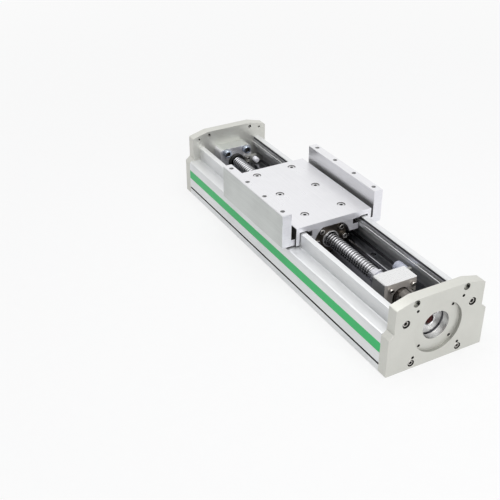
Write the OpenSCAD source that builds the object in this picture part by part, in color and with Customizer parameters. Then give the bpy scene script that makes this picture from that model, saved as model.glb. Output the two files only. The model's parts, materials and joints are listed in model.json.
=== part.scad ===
// Ball screw linear module: an extruded base with two profile rails, a ball screw between
// bearing housings, and a carriage whose outer arms ride over the side walls.
// X runs along the travel with the motor end at +X, Y across, Z up. Millimetres.
// The origin is the centre of the footprint, on the resting face.

/* [Base extrusion] */
// Length of the base extrusion between the end plates
base_len = 534; // [460:2:900]
// Width of the base extrusion
base_w = 150; // [146:1:170]
// Height of the wide lower body
body_h = 58; // [57:0.5:59.4]
// Height of the top of the side walls
wall_top = 78.6; // [77:0.1:79.4]
// Thickness of the side walls
wall_t = 9.6; // [8.8:0.1:10]
// Half width of the opening between the wall tops
mouth_half = 46.2; // [45.8:0.1:46.6]
// Height of the channel floor that carries the rails
floor_z = 30; // [28:0.5:31]
// Depth of the centre trough below the rail seats
trough_d = 3; // [2.5:0.5:4]
// Height of the coloured strip's centre
strip_z = 35.8; // [33:0.2:37]
// Height of the coloured strip
strip_h = 14.5; // [8:0.5:16]
// Thickness of the coloured strip
strip_t = 2.2; // [1.5:0.1:3]
// Height of the narrow accessory slot in each side
side_slot_z = 11.8; // [10.5:0.1:13]

/* [End plates] */
// Thickness of the end plates
plate_t = 15; // [13:0.5:20]
// Height of the end plates
plate_h = 104; // [100:1:112]
// Height where the plate's side steps inward
step_z = 55.4; // [52:0.2:57]
// How far the plate's upper part is set in from each side
step_in = 7.5; // [5:0.1:8]
// Height of the plate's shoulders
shoulder_z = 97; // [95:0.5:99]
// Width of the plate's flat top
flat_w = 80; // [60:1:100]

/* [Motor interface] */
// Diameter of the bore for the coupling
motor_bore_d = 40; // [37:0.5:44]
// Diameter of the motor's pilot recess
pilot_d = 73.2; // [73:0.1:75]
// Depth of the pilot recess
pilot_depth = 4.5; // [2:0.5:6]
// Side of the larger square of motor bolts
bolt_square_large = 69.6; // [69:0.1:70]
// Side of the smaller square of motor bolts
bolt_square_small = 47.14; // [47:0.01:48]
// Nominal diameter of the motor bolts
motor_bolt_d = 5; // [4:0.5:6]

/* [Ball screw] */
// Height of the screw axis
axis_z = 51; // [50.8:0.1:52]
// Diameter of the ball screw
screw_d = 20; // [18:0.5:20]
// Lead of the thread
lead = 5; // [5:1:10]
// Depth of the ball groove
groove_d = 1.1; // [0.8:0.1:1.4]
// Share of the lead that the ball groove takes
groove_share = 0.6; // [0.5:0.05:0.7]
// Length of the collar between the thread's shoulder and the fixed bearings
collar_len = 22; // [14:1:24]
// Diameter of the rim on that collar
collar_d = 25; // [24:0.5:26]
// Length of the plain shoulder between the thread and the collar
shoulder_len = 8; // [4:1:14]
// Journal diameter in the fixed bearings
journal_d = 15; // [14:0.5:15]
// Diameter of the drive end that carries the coupling
drive_d = 12; // [10:0.5:13]
// Journal diameter in the rear bearing
rear_journal_d = 12; // [10:0.5:14]

/* [Bearing housings] */
// Distance from the motor end plate to the fixed housing
motor_gap = 60; // [58:1:66]
// Length of the fixed housing without its cover
block_len = 24; // [23:0.5:27]
// Width of the fixed housing
block_w = 51; // [46:1:52]
// Height of the top of the fixed housing
block_top = 74; // [70:0.5:75]
// Thickness of the fixed housing's front cover
cover_t = 4.6; // [4:0.2:6]
// Outer diameter of the fixed bearings
bearing_od = 32; // [30:0.5:33]
// Width of one fixed bearing
bearing_w = 9; // [8:0.5:9]
// Thickness of the rear housing
rear_t = 22; // [20:0.5:24]
// Width of the rear housing
rear_w = 58; // [54:1:62]
// Height of the top of the rear housing
rear_top = 76.5; // [75:0.5:78]
// Outer diameter of the rear bearing
rear_bearing_od = 28; // [26:0.5:30]

/* [Rails and guide blocks] */
// Distance of each rail from the centre line
rail_y = 35; // [34.8:0.1:35.1]
// Width of the rail
rail_w = 15; // [14.6:0.1:15.2]
// Height of the rail
rail_h = 15; // [14:0.5:15]
// Distance between the rail's screws
rail_pitch = 60; // [50:5:80]
// Distance from the rail's front end to its first screw
rail_margin = 10; // [8:1:15]
// Gap between the rail and the guide block
rail_gap = 0.35; // [0.3:0.05:0.5]
// Width of the guide block
guide_w = 33; // [32:0.1:33.2]
// Height of the guide block's top above the rail's foot
guide_h = 28; // [28:0.1:28.4]
// Length of a guide block with its end caps
guide_len = 60; // [50:1:62]
// Thickness of one end cap
cap_t = 9; // [7:0.5:11]

/* [Carriage] */
// Place of the carriage's centre along the travel
carriage_x = -41; // [-60:1:0]
// Length of the carriage's saddles and arms
arm_len = 175; // [172:1:200]
// Length of the table plate
table_len = 186; // [184:1:210]
// Height of the table's upper face
table_top = 88; // [87:0.5:90]
// Thickness of the table between the walls
table_t = 9.5; // [9:0.25:10]
// Width of the table between the slots for the cover's skirts
table_w = 125; // [122:0.5:128]
// Width of each slot for the cover's skirts
slot_w = 6; // [4:0.5:7]
// Height of the bottom of those slots
slot_z = 70; // [68:0.5:72]
// Thickness of each outer arm
arm_t = 14.5; // [12:0.5:17]
// Height of the top of the outer arms
arm_top = 111.4; // [108:0.1:116]
// Gap between the carriage and the side walls
side_gap = 1; // [0.8:0.1:1.2]
// Gap between the carriage and the wall tops
top_gap = 1.6; // [1.2:0.1:2]
// Gap between the arms and the ledge below them
ledge_gap = 2.2; // [1.8:0.1:3]
// Distance between the arm's threaded holes
load_pitch = 50; // [40:1:52]
// Nominal diameter of the arm's threaded holes
load_bolt_d = 8; // [5:0.5:8]
// Distance between the rows of table screws
table_pitch = 69; // [60:1:70]
// Height of the saddle's foot
foot_h = 10; // [8:0.5:11]
// Width of the saddle's leg
leg_w = 7; // [6.5:0.5:8]

/* [Ball nut] */
// Diameter of the nut's body
nut_d = 36; // [34:0.5:36]
// Length of the nut's body behind its flange
nut_len = 41; // [36:1:48]
// Diameter of the nut's flange
flange_d = 55; // [54:0.5:55]
// Height of the flange across its flats
flange_flat = 44; // [40:0.5:44]
// Thickness of the nut's flange
flange_t = 10; // [8:0.5:12]
// Diameter of the nut's bolt circle
nut_pcd = 46; // [45:0.5:46]
// Thickness of the bracket that holds the nut
bracket_t = 12; // [10:0.5:14]

/* [Bumpers] */
// Diameter of the front bumper
bumper_d = 16; // [14:0.5:19]
// Diameter of the rear bumper
rear_bumper_d = 9; // [8:0.5:10]
// Distance of the bumpers from the centre line
bumper_y = 32.5; // [32:0.5:33]
// Length of the front bumper
front_bumper_len = 20; // [12:1:21]
// Length of the rear bumper
rear_bumper_len = 10; // [6:1:10]
// Thickness of the bumper brackets
bumper_plate_t = 5; // [4:0.5:6]

/* [Hidden] */
$fn = 64;
eps = 0.01;
fit = 0.05;
silver = [0.82, 0.82, 0.84];
plate_grey = [0.8, 0.8, 0.77];
steel = [0.6, 0.6, 0.63];
dark_steel = [0.2, 0.19, 0.19];
half = base_w / 2;
x_front = base_len / 2;
x_rear = -base_len / 2;

// Screws: a nominal diameter gives every other size.
function head_r(d) = 0.75 * d + 0.5;
function head_h(d) = d;
function hex_r(d) = (d - 1) / 2 / cos(30);
function tap_r(d) = 0.42 * d;
function shank_r(d) = tap_r(d) - fit;
function clear_r(d) = 0.55 * d;
function sink_r(d) = head_r(d) + 0.6;
function tops(points) = concat(points, [for (i = [len(points) - 1:-1:0]) [-points[i].x, points[i].y]]);

// Base section
wall_out = mouth_half + wall_t;
lip_half = mouth_half - 1.2;
bead_z = wall_top - 4.4;
rail_top = floor_z + rail_h;
guide_top = floor_z + guide_h;
pocket_half = rail_y + guide_w / 2 + 1.1;
pocket_top = guide_top + 1.5;
lip_z = pocket_top + pocket_half - 4.1 - lip_half;
shelf_z = floor_z + 18;
chamber_half = half - 12;
trough_half = rail_y - rail_w / 2 - 1;
trough_z = floor_z - trough_d;
cell_top = floor_z - 6;
wall_port = [wall_out - 5, wall_top - 6.6];
foot_port = [36.6, 8.1];
wall_screw_d = 6;
foot_screw_d = 5;
wall_sink = 7.5;
foot_sink = 6;
plate_screw_bite = 14;
bottom_slot_y = 52;

// End plates
cover_hole_d = 5;
cover_hole = [flat_w / 2 - 1.9, plate_h - 6.3];
skirt_hole = [half - step_in - 11.5, shoulder_z - 3.4];

// Bearing housings
x_cover = x_front - motor_gap;
x_block = x_cover - cover_t;
x_block_back = x_block - block_len;
bumper_z = guide_top;
ring_od = 28;
ring_t = 5;
bumper_screw_y = block_w / 2 - 5.5;
bumper_screw_z = [bumper_z - 5, bumper_z + 3.6];
rear_bumper_screw_d = 3;
rear_bumper_screw_y = ring_od / 2 + 5.5;
rear_bumper_screw_z = [axis_z - 3.6, axis_z + 3.6];
bumper_shank_d = 5;
cover_screw_d = 4;
cover_screw = [block_w / 2 - 8.1, 14.2];
block_screw_d = 6;
block_screw = [block_len / 2 - 6, 18.5];
block_screw_bite = 6;
rail_screw_d = 4;
rail_sink = 5.3;
arch_r = flange_d / 2 + 2.5;
cover_mouth_r = bearing_od / 2 - 2.5;
x_rear_face = x_rear + rear_t;
rail_front = x_block_back - bumper_plate_t - 4.4;
rail_rear = x_rear_face + bumper_plate_t + 9;
rear_screw_d = 8;
rear_screw_y = 17.8;
rear_screw_z = [axis_z - 14, rear_top - 6];
rear_screw_bite = 9;
cover_screw_bite = 10;
wiper_t = 3;
wiper_r = screw_d / 2 + 3;
wiper_rim = 1.5;
rear_bearing_w = 8;
rear_seat = 6;
clip_t = 1.1;

// Carriage
x_saddle = carriage_x + arm_len / 2;
x_saddle_back = carriage_x - arm_len / 2;
leg_in = flange_d / 2 - 0.3;
leg_out = leg_in + leg_w;
leg_top = table_top - table_t;
foot_out = lip_half - 0.8;
arm_bottom = body_h + ledge_gap;
slot_out = table_w / 2 + slot_w;
arm_out = slot_out + arm_t;
table_screw_d = 6;
table_screw_y = leg_in + leg_w / 2;
table_screw_x = [-table_pitch, 0, table_pitch];
table_row_shift = -8;
x_flange = x_saddle - 5.5;
x_bracket = x_flange - flange_t;
x_bracket_back = x_bracket - bracket_t;
bracket_low_half = trough_half - 1.5;
nut_screw_d = 5;
nut_screw_angles = [0, 45, 135, 180, 225, 315];
bore_r = screw_d / 2 + 0.35;
guide_front_x = x_bracket_back - 1 - guide_len / 2;
guide_rear_x = x_saddle_back + guide_len / 2;
guide_screw_d = 4;
guide_screw_y = leg_out + head_r(guide_screw_d) + 0.5;
guide_screw_pitch = 24;
bracket_screw_d = 4;
guide_sink = 4.5;

// Ball screw
x_collar = x_block_back - collar_len;
x_thread = x_collar - shoulder_len;
x_thread_end = x_rear_face - 2;
thread_r = screw_d / 2;
root_r = thread_r - groove_d;
thread_sides = 12;
thread_turns = floor((x_thread - x_thread_end) / lead) - 1;

// Coupling
hub_r = 17;
hub_bore_r = 7;
hub_len = 21;
jaw_len = 9;
spider_t = 12;
x_motor_hub = x_front + 3;
x_motor_jaw = x_motor_hub - hub_len;
x_screw_jaw = x_motor_jaw - spider_t;
x_screw_hub = x_screw_jaw - hub_len;
clamp_screw_d = 4;
clamp_screw_in = 6;
clamp_seat = 5;
clamp_rise = 10.5;

// Solids drawn along an axis
module along_x(from, to) {
    translate([from, 0, 0]) rotate([90, 0, 90]) linear_extrude(to - from) children();
}

module box(low, high) {
    translate(low) cube(high - low);
}

module rod_x(from, to, y, z, r) {
    translate([from, y, z]) rotate([0, 90, 0]) cylinder(h = to - from, r = r);
}

module rod_z(from, to, x, y, r) {
    translate([x, y, from]) cylinder(h = to - from, r = r);
}

module both_sides() {
    children();
    mirror([0, 1, 0]) children();
}

// A socket head screw along Z: its seat is at z = 0, the head above and the shank below.
module cap_screw(d, length) {
    difference() {
        cylinder(h = head_h(d), r = head_r(d));
        translate([0, 0, head_h(d) * 0.45]) cylinder(h = head_h(d), r = hex_r(d), $fn = 6);
    }
    translate([0, 0, -length]) cylinder(h = length + eps, r = shank_r(d));
}

module screw_facing_front(d, length, x, y, z) {
    translate([x, y, z]) rotate([0, 90, 0]) cap_screw(d, length);
}

module screw_facing_rear(d, length, x, y, z) {
    translate([x, y, z]) rotate([0, -90, 0]) cap_screw(d, length);
}

// Base: one closed section with the channel, the slots and the hollow cells
function base_half() = [
    [half - 1, 0], [half, 1],
    [half, body_h - 3.5], [half - 0.8, body_h - 1.2], [half - 3, body_h],
    [wall_out + 2, body_h], [wall_out + 0.6, body_h + 0.6], [wall_out, body_h + 2],
    [wall_out, wall_top - 2.4], [wall_out - 0.7, wall_top - 0.7], [wall_out - 2.4, wall_top],
    [mouth_half + 1.2, wall_top], [mouth_half, wall_top - 1.2],
    [mouth_half, bead_z], [lip_half, bead_z - 0.4],
    [lip_half, lip_z], [pocket_half - 4.1, pocket_top], [pocket_half, pocket_top],
    [pocket_half, shelf_z], [chamber_half, shelf_z],
    [chamber_half, floor_z], [trough_half, floor_z],
    [trough_half, trough_z], [2.5, trough_z], [0, trough_z - 2]
];

module base_section() {
    difference() {
        polygon(tops(base_half()));
        both_flanks() {
            translate([half - strip_t, strip_z - strip_h / 2]) square([strip_t + 1, strip_h]);
            translate([half - 2.6, side_slot_z - 1.5]) square([4, 3]);
            translate([half - 6.2, side_slot_z - 3]) square([3.7, 6]);
            translate([bottom_slot_y - 4.1, -1]) square([8.2, 5]);
            translate([bottom_slot_y - 7, 3.5]) square([14, 6]);
            translate([12, 5]) square([foot_port.x - foot_screw_d - 12, cell_top - 5]);
            translate([bottom_slot_y - 8, 13]) square([chamber_half - bottom_slot_y + 5, cell_top - 13]);
            translate(foot_port) circle(r = tap_r(foot_screw_d));
            translate(wall_port) circle(r = tap_r(wall_screw_d));
        }
        translate([-9, 5]) square([18, cell_top - 6 - 2]);
    }
}

module both_flanks() {
    children();
    mirror([1, 0]) children();
}

module rail_screw_places() {
    for (x = [rail_front - rail_margin:-rail_pitch:rail_rear + rail_margin]) {
        translate([x, 0, 0]) children();
    }
}

module housing_screw_places() {
    for (sx = [-1, 1], sy = [-1, 1]) {
        translate([x_block - block_len / 2 + sx * block_screw.x, sy * block_screw.y, 0]) children();
    }
}

module base_extrusion() {
    color(silver) difference() {
        along_x(x_rear, x_front) base_section();
        housing_screw_places() {
            translate([0, 0, cell_top - 1]) cylinder(h = 8, r = clear_r(block_screw_d));
            translate([0, 0, -1]) cylinder(h = 8, r = sink_r(block_screw_d));
        }
        both_sides() translate([0, rail_y, floor_z - 5.5]) rail_screw_places()
            cylinder(h = 7, r = tap_r(rail_screw_d));
    }
}

// Coloured strips laid in the recess of each side
module strip(side) {
    low = strip_z - strip_h / 2;
    mirror([0, side, 0]) color([0.22, 0.7, 0.4])
        box([x_rear, half - strip_t, low + 0.1], [x_front, half - 0.1, low + strip_h - 0.1]);
}

module strip_left() {
    strip(0);
}

module strip_right() {
    strip(1);
}

// End plates
function plate_half() = [
    [half - 1, 0], [half, 1],
    [half, step_z], [half - step_in, step_z + 6.2],
    [half - step_in, shoulder_z - 1.5], [half - step_in - 1.5, shoulder_z],
    [flat_w / 2, plate_h]
];

module plate_blank(inner, outer) {
    low_x = min(inner, outer);
    difference() {
        along_x(low_x, low_x + plate_t) polygon(tops(plate_half()));
        both_sides() {
            hole_with_sink(outer, wall_port, wall_screw_d, wall_sink);
            hole_with_sink(outer, foot_port, foot_screw_d, foot_sink);
            hole_with_sink(outer, cover_hole, cover_hole_d, 5.5);
            rod_x(inner - 7, inner + 7, skirt_hole.x, skirt_hole.y, tap_r(4));
        }
    }
}

module hole_with_sink(outer, place, d, depth) {
    rod_x(outer - plate_t - 1, outer + plate_t + 1, place.x, place.y, clear_r(d));
    rod_x(outer - depth, outer + depth, place.x, place.y, sink_r(d));
}

module square_of_holes(side, d) {
    for (sy = [-1, 1], sz = [-1, 1]) {
        rod_x(x_front - 1, x_front + plate_t + 1, sy * side / 2, axis_z + sz * side / 2, tap_r(d));
    }
}

module motor_end_plate() {
    face = x_front + plate_t;
    color(plate_grey) difference() {
        plate_blank(x_front, face);
        rod_x(x_front - 1, face + 1, 0, axis_z, motor_bore_d / 2);
        rod_x(face - pilot_depth, face + 1, 0, axis_z, pilot_d / 2);
        square_of_holes(bolt_square_large, motor_bolt_d);
        square_of_holes(bolt_square_small, motor_bolt_d);
    }
}

module rear_end_plate() {
    color(plate_grey) difference() {
        plate_blank(x_rear, x_rear - plate_t);
        for (sy = [-1, 1], z = rear_screw_z) {
            rod_x(x_rear - rear_screw_bite - 1, x_rear + 1, sy * rear_screw_y, z, tap_r(rear_screw_d));
        }
    }
}

module plate_screws() {
    wall_bite = plate_t - wall_sink + plate_screw_bite;
    foot_bite = plate_t - foot_sink + plate_screw_bite;
    both_sides() {
        screw_facing_front(wall_screw_d, wall_bite, plate_t - wall_sink, wall_port.x, wall_port.y);
        screw_facing_front(foot_screw_d, foot_bite, plate_t - foot_sink, foot_port.x, foot_port.y);
    }
}

module motor_plate_screws() {
    color(steel) translate([x_front, 0, 0]) plate_screws();
}

module rear_plate_screws() {
    color(steel) translate([x_rear, 0, 0]) mirror([1, 0, 0]) plate_screws();
}

// Rails: the waist carries the ball rows, the gap widens the same outline for the guide block
function rail_half(gap) = [
    [rail_w / 2 + gap, -gap], [rail_w / 2 + gap, rail_h * 0.28],
    [rail_w / 2 - 1.3 + gap, rail_h * 0.44], [rail_w / 2 - 1.3 + gap, rail_h * 0.57],
    [rail_w / 2 + gap, rail_h * 0.73], [rail_w / 2 + gap, rail_h - 0.8 + gap],
    [rail_w / 2 - 0.8 + gap, rail_h + gap]
];

module rail() {
    translate([0, rail_y, floor_z]) difference() {
        along_x(rail_rear, rail_front) polygon(tops(rail_half(0)));
        rail_screw_places() {
            translate([0, 0, -1]) cylinder(h = rail_h, r = clear_r(rail_screw_d));
            translate([0, 0, rail_h - rail_sink])
                cylinder(h = rail_sink + 1, r = head_r(rail_screw_d) + 0.3);
        }
    }
}

module rail_left() {
    color(steel) rail();
}

module rail_right() {
    color(steel) mirror([0, 1, 0]) rail();
}

module rail_screws() {
    color(dark_steel) both_sides() translate([0, rail_y, rail_top - rail_sink]) rail_screw_places()
        cap_screw(rail_screw_d, rail_h - rail_sink + 5);
}

// Fixed bearing housing at the motor end
function housing_half(width, bottom, top, chamfer) = [
    [width / 2, bottom], [width / 2, top - chamfer], [width / 2 - chamfer, top]
];

module fixed_housing() {
    color(silver) difference() {
        along_x(x_block_back, x_block) polygon(tops(housing_half(block_w, trough_z, block_top, 1.2)));
        rod_x(x_block_back - 1, x_block + 1, 0, axis_z, bearing_od / 2 - 4);
        rod_x(x_block - 2 * bearing_w, x_block + 1, 0, axis_z, bearing_od / 2);
        housing_screw_places() translate([0, 0, trough_z - 1])
            cylinder(h = block_screw_bite + 2, r = tap_r(block_screw_d));
        both_sides() for (sz = [-1, 1]) {
            rod_x(x_block - 12, x_block + 1, cover_screw.x, axis_z + sz * cover_screw.y,
                tap_r(cover_screw_d));
        }
        for (z = bumper_screw_z) {
            rod_x(x_block_back - 1, x_block_back + 9, bumper_screw_y, z, tap_r(cover_screw_d));
        }
    }
}

module fixed_housing_cover() {
    corner = 2.5;
    color(silver) difference() {
        intersection() {
            along_x(x_block, x_cover) polygon(tops(housing_half(block_w, floor_z + 0.5, block_top, 1.2)));
            linear_extrude(block_top + 1) polygon([
                [x_block, -block_w / 2], [x_cover - corner, -block_w / 2], [x_cover, corner - block_w / 2],
                [x_cover, block_w / 2 - corner], [x_cover - corner, block_w / 2], [x_block, block_w / 2]
            ]);
        }
        rod_x(x_block - 1, x_cover + 1, 0, axis_z, cover_mouth_r);
        both_sides() for (sz = [-1, 1]) {
            rod_x(x_block - 1, x_cover + 1, cover_screw.x, axis_z + sz * cover_screw.y,
                clear_r(cover_screw_d));
        }
    }
}

module housing_cover_screws() {
    color(steel) both_sides() for (sz = [-1, 1]) {
        screw_facing_front(cover_screw_d, cover_t + cover_screw_bite,
            x_cover, cover_screw.x, axis_z + sz * cover_screw.y);
    }
}

module housing_screws() {
    color(steel) housing_screw_places() translate([0, 0, cell_top]) mirror([0, 0, 1])
        cap_screw(block_screw_d, trough_z - cell_top + block_screw_bite);
}

// Bearings: the outer rings sit in the housings and the inner rings on the screw
function ball_circle(od, id) = (od + id) / 4;
function ball_r(od, id) = (od - id) * 0.14;

module ring_about_screw(x) {
    translate([x, 0, axis_z]) rotate([0, 90, 0]) rotate_extrude() children();
}

module ball_track(width, od, id) {
    translate([ball_circle(od, id), width / 2]) circle(r = ball_r(od, id) + 0.1);
}

module outer_ring(x, width, od, id) {
    inner = ball_circle(od, id) + 0.5 * ball_r(od, id);
    ring_about_screw(x) difference() {
        translate([inner, fit]) square([od / 2 - fit / 2 - inner, width - 2 * fit]);
        ball_track(width, od, id);
    }
}

module inner_ring(x, width, od, id) {
    outer = ball_circle(od, id) - 0.5 * ball_r(od, id);
    ring_about_screw(x) difference() {
        translate([id / 2 + fit / 2, fit]) square([outer - id / 2 - fit / 2, width - 2 * fit]);
        ball_track(width, od, id);
    }
}

module ball_row(x, width, od, id) {
    count = 10;
    for (i = [1:count]) {
        translate([x + width / 2, 0, axis_z]) rotate([i * 360 / count, 0, 0])
            translate([0, ball_circle(od, id), 0]) sphere(r = ball_r(od, id), $fn = 32);
    }
}

module fixed_bearings() {
    for (i = [1, 2]) {
        translate([x_block - i * bearing_w, 0, 0]) children();
    }
}

module fixed_bearing_outer_rings() {
    color(steel) fixed_bearings() outer_ring(0, bearing_w, bearing_od, journal_d);
}

module rear_bearing_outer_ring() {
    color(steel) outer_ring(x_rear + rear_seat, rear_bearing_w, rear_bearing_od, rear_journal_d);
}

module bearing_inner_rings() {
    color(steel) {
        fixed_bearings() inner_ring(0, bearing_w, bearing_od, journal_d);
        inner_ring(x_rear + rear_seat, rear_bearing_w, rear_bearing_od, rear_journal_d);
    }
}

module bearing_balls() {
    color(steel) {
        fixed_bearings() ball_row(0, bearing_w, bearing_od, journal_d);
        ball_row(x_rear + rear_seat, rear_bearing_w, rear_bearing_od, rear_journal_d);
    }
}

// Rear bearing housing, bolted to the rear end plate
module rear_housing() {
    corner = 7;
    color(silver) difference() {
        along_x(x_rear, x_rear_face) polygon(tops(concat(
            [[rear_w / 2, floor_z]],
            [for (a = [0:15:90]) [rear_w / 2 - corner * (1 - cos(a)), rear_top - corner * (1 - sin(a))]]
        )));
        rod_x(x_rear - 1, x_rear + rear_seat + rear_bearing_w, 0, axis_z, rear_bearing_od / 2);
        rod_x(x_rear - 1, x_rear_face + 1, 0, axis_z, screw_d / 2 + 1);
        for (sy = [-1, 1], z = rear_screw_z) {
            rod_x(x_rear - 1, x_rear_face + 1, sy * rear_screw_y, z, clear_r(rear_screw_d));
        }
        for (z = rear_bumper_screw_z) {
            rod_x(x_rear_face - 9, x_rear_face + 1, rear_bumper_screw_y, z, tap_r(rear_bumper_screw_d));
        }
    }
}

module rear_housing_screws() {
    color(dark_steel) for (sy = [-1, 1], z = rear_screw_z) {
        screw_facing_front(rear_screw_d, rear_t + rear_screw_bite, x_rear_face, sy * rear_screw_y, z);
    }
}

module rubber_ring() {
    color([0.05, 0.05, 0.05]) ring_about_screw(x_rear_face)
        polygon([
            [screw_d / 2 + 1.4, 0], [ring_od / 2, 0], [ring_od / 2, ring_t - 1],
            [ring_od / 2 - 0.8, ring_t], [screw_d / 2 + 1.4, ring_t]
        ]);
}

// Bumpers on two brackets stop the carriage's left saddle

module bumper_bracket(from, low, high, stop_z, screw_y, screw_z, screw_size) {
    to = from + bumper_plate_t;
    difference() {
        box([from, low.x, low.y], [to, high.x, high.y]);
        rod_x(from - 1, to + 1, bumper_y, stop_z, bumper_shank_d / 2 + fit);
        for (z = screw_z) {
            rod_x(from - 1, to + 1, screw_y, z, clear_r(screw_size));
        }
    }
}

module bumper_brackets() {
    rear_half = rear_bumper_d / 2;
    color(silver) {
        bumper_bracket(x_block_back - bumper_plate_t, [bumper_screw_y - 5, rail_top + 1.2],
            [bumper_y + bumper_d / 2 - 2, bumper_z + bumper_d / 2 - 0.3],
            bumper_z, bumper_screw_y, bumper_screw_z, cover_screw_d);
        bumper_bracket(x_rear_face, [ring_od / 2 + 1.2, axis_z - rear_half - 2],
            [bumper_y + rear_half, axis_z + rear_half + 2],
            axis_z, rear_bumper_screw_y, rear_bumper_screw_z, rear_bumper_screw_d);
    }
}

module bumper_bracket_screws() {
    length = bumper_plate_t + 8;
    color(steel) {
        for (z = bumper_screw_z) {
            screw_facing_rear(cover_screw_d, length, x_block_back - bumper_plate_t, bumper_screw_y, z);
        }
        for (z = rear_bumper_screw_z) {
            screw_facing_front(rear_bumper_screw_d, length, x_rear_face + bumper_plate_t,
                rear_bumper_screw_y, z);
        }
    }
}

// A bumper has a shank in its bracket, a stem and a thicker head
module bumper(d, length) {
    shank = bumper_shank_d / 2;
    head = length * 0.4;
    rotate([0, 90, 0]) rotate_extrude() polygon([
        [0, 1 - bumper_plate_t], [shank, 1 - bumper_plate_t], [shank, 0], [d / 2, 0],
        [d / 2, length - head - 1.5], [d / 2 - 1, length - head - 1], [d / 2 - 1, length - head],
        [d / 2, length - head + 0.5], [d / 2, length - 1.5], [d / 2 - 1.5, length], [0, length]
    ]);
}

module front_bumper() {
    color([0.93, 0.93, 0.95]) translate([x_block_back - bumper_plate_t, bumper_y, bumper_z])
        mirror([1, 0, 0]) bumper(bumper_d, front_bumper_len);
}

module rear_bumper() {
    color([0.93, 0.93, 0.9]) translate([x_rear_face + bumper_plate_t, bumper_y, axis_z])
        bumper(rear_bumper_d, rear_bumper_len);
}

// Ball screw. The thread is one closed surface: each step of the helix has four points, two on
// the floor of the ball groove and two on its land, and each land meets the next turn's groove.
thread_profile = [
    [0, root_r], [groove_share * 0.25, thread_r], [1 - groove_share * 0.75, thread_r],
    [1 - groove_share * 0.5, root_r]
];
thread_steps = thread_turns * thread_sides;
thread_ring = (thread_steps + 1) * len(thread_profile);

function thread_angle(step) = 360 * step / thread_sides;
function around(x, r, angle) = [x, r * cos(angle), r * sin(angle)];
function thread_points() = [
    for (step = [0:thread_steps], p = thread_profile)
        around(x_thread_end + 0.5 + (step / thread_sides + p[0]) * lead, p[1], thread_angle(step))
];
function end_ring(x) = [for (step = [0:thread_sides - 1]) around(x, root_r, thread_angle(step))];

// Indices of a point on the helix, on the rear end ring and on the front end ring
function on_helix(step, k) = step * len(thread_profile) + k;
function on_rear(step) = thread_ring + step % thread_sides;
function on_front(step) = thread_ring + thread_sides + step % thread_sides;
function quad(a, b, c, d) = [[a, b, c], [a, c, d]];
function fan(hub, rim) = [for (i = [0:len(rim) - 2]) [hub, rim[i], rim[i + 1]]];

function thread_faces() =
    let (last = thread_steps, turn = thread_sides, land = len(thread_profile) - 1)
    [
        for (s = [0:last - 1], k = [0:land - 1])
            each quad(on_helix(s, k), on_helix(s, k + 1), on_helix(s + 1, k + 1), on_helix(s + 1, k)),
        for (s = [0:last - turn - 1])
            each quad(on_helix(s, land), on_helix(s + turn, 0), on_helix(s + turn + 1, 0),
                on_helix(s + 1, land)),
        for (s = [0:turn - 2])
            each quad(on_rear(s), on_helix(s, 0), on_helix(s + 1, 0), on_rear(s + 1)),
        each fan(on_rear(turn - 1), concat(
            [on_helix(turn - 1, 0), on_helix(turn, 0)],
            [for (k = [land:-1:0]) on_helix(0, k)],
            [on_rear(0)]
        )),
        for (s = [last - turn + 1:last - 1])
            each quad(on_helix(s, land), on_front(s), on_front(s + 1), on_helix(s + 1, land)),
        each fan(on_front(1), concat(
            [on_front(0)],
            [for (k = [land:-1:0]) on_helix(last, k)],
            [on_helix(last - turn, land), on_helix(last - turn + 1, land)]
        )),
        [for (s = [0:turn - 1]) on_rear(s)],
        [for (s = [turn - 1:-1:0]) on_front(s)]
    ];

module thread() {
    translate([0, 0, axis_z]) polyhedron(
        points = concat(thread_points(), end_ring(x_thread_end), end_ring(x_thread)),
        faces = thread_faces()
    );
}

module ball_screw() {
    color(steel) {
        thread();
        rod_x(x_thread - 1, x_collar, 0, axis_z, thread_r);
        rod_x(x_collar - 1, x_block + 11, 0, axis_z, journal_d / 2);
        rod_x(x_block + 10, x_screw_jaw - 1, 0, axis_z, drive_d / 2);
        difference() {
            rod_x(x_rear + 1, x_thread_end + 1, 0, axis_z, rear_journal_d / 2);
            ring_about_screw(x_rear + rear_seat - clip_t) translate([rear_journal_d / 2 - 0.5, 0])
                square([2, clip_t]);
        }
    }
}

module screw_collar() {
    rim_t = 4;
    sleeve_r = collar_d / 2 - 1.5;
    bore = journal_d / 2 + fit / 2;
    color(silver) ring_about_screw(x_collar) polygon([
        [bore, 0], [collar_d / 2 - 0.5, 0], [collar_d / 2, 0.5], [collar_d / 2, rim_t],
        [sleeve_r, rim_t], [sleeve_r, x_block - 2 * bearing_w - x_collar],
        [bore, x_block - 2 * bearing_w - x_collar]
    ]);
}

module lock_nut() {
    nut_r = cover_mouth_r - 1;
    nut_t = 9;
    slot_depth = 1.6;
    color(steel) difference() {
        ring_about_screw(x_block) translate([journal_d / 2 + fit / 2, 0])
            square([nut_r - journal_d / 2 - fit / 2, nut_t]);
        for (a = [45:90:315]) {
            translate([x_block + 4, 0, axis_z]) rotate([a, 0, 0]) translate([0, nut_r - slot_depth, -2])
                cube([nut_t, 2 * slot_depth, 4]);
        }
    }
}

module retaining_ring() {
    color(dark_steel) difference() {
        ring_about_screw(x_rear + rear_seat - clip_t + fit) translate([rear_journal_d / 2 - 0.4, 0])
            square([3, clip_t - 2 * fit]);
        box([x_rear, -2.5, axis_z], [x_rear + rear_seat, 2.5, axis_z + rear_journal_d]);
    }
}

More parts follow.
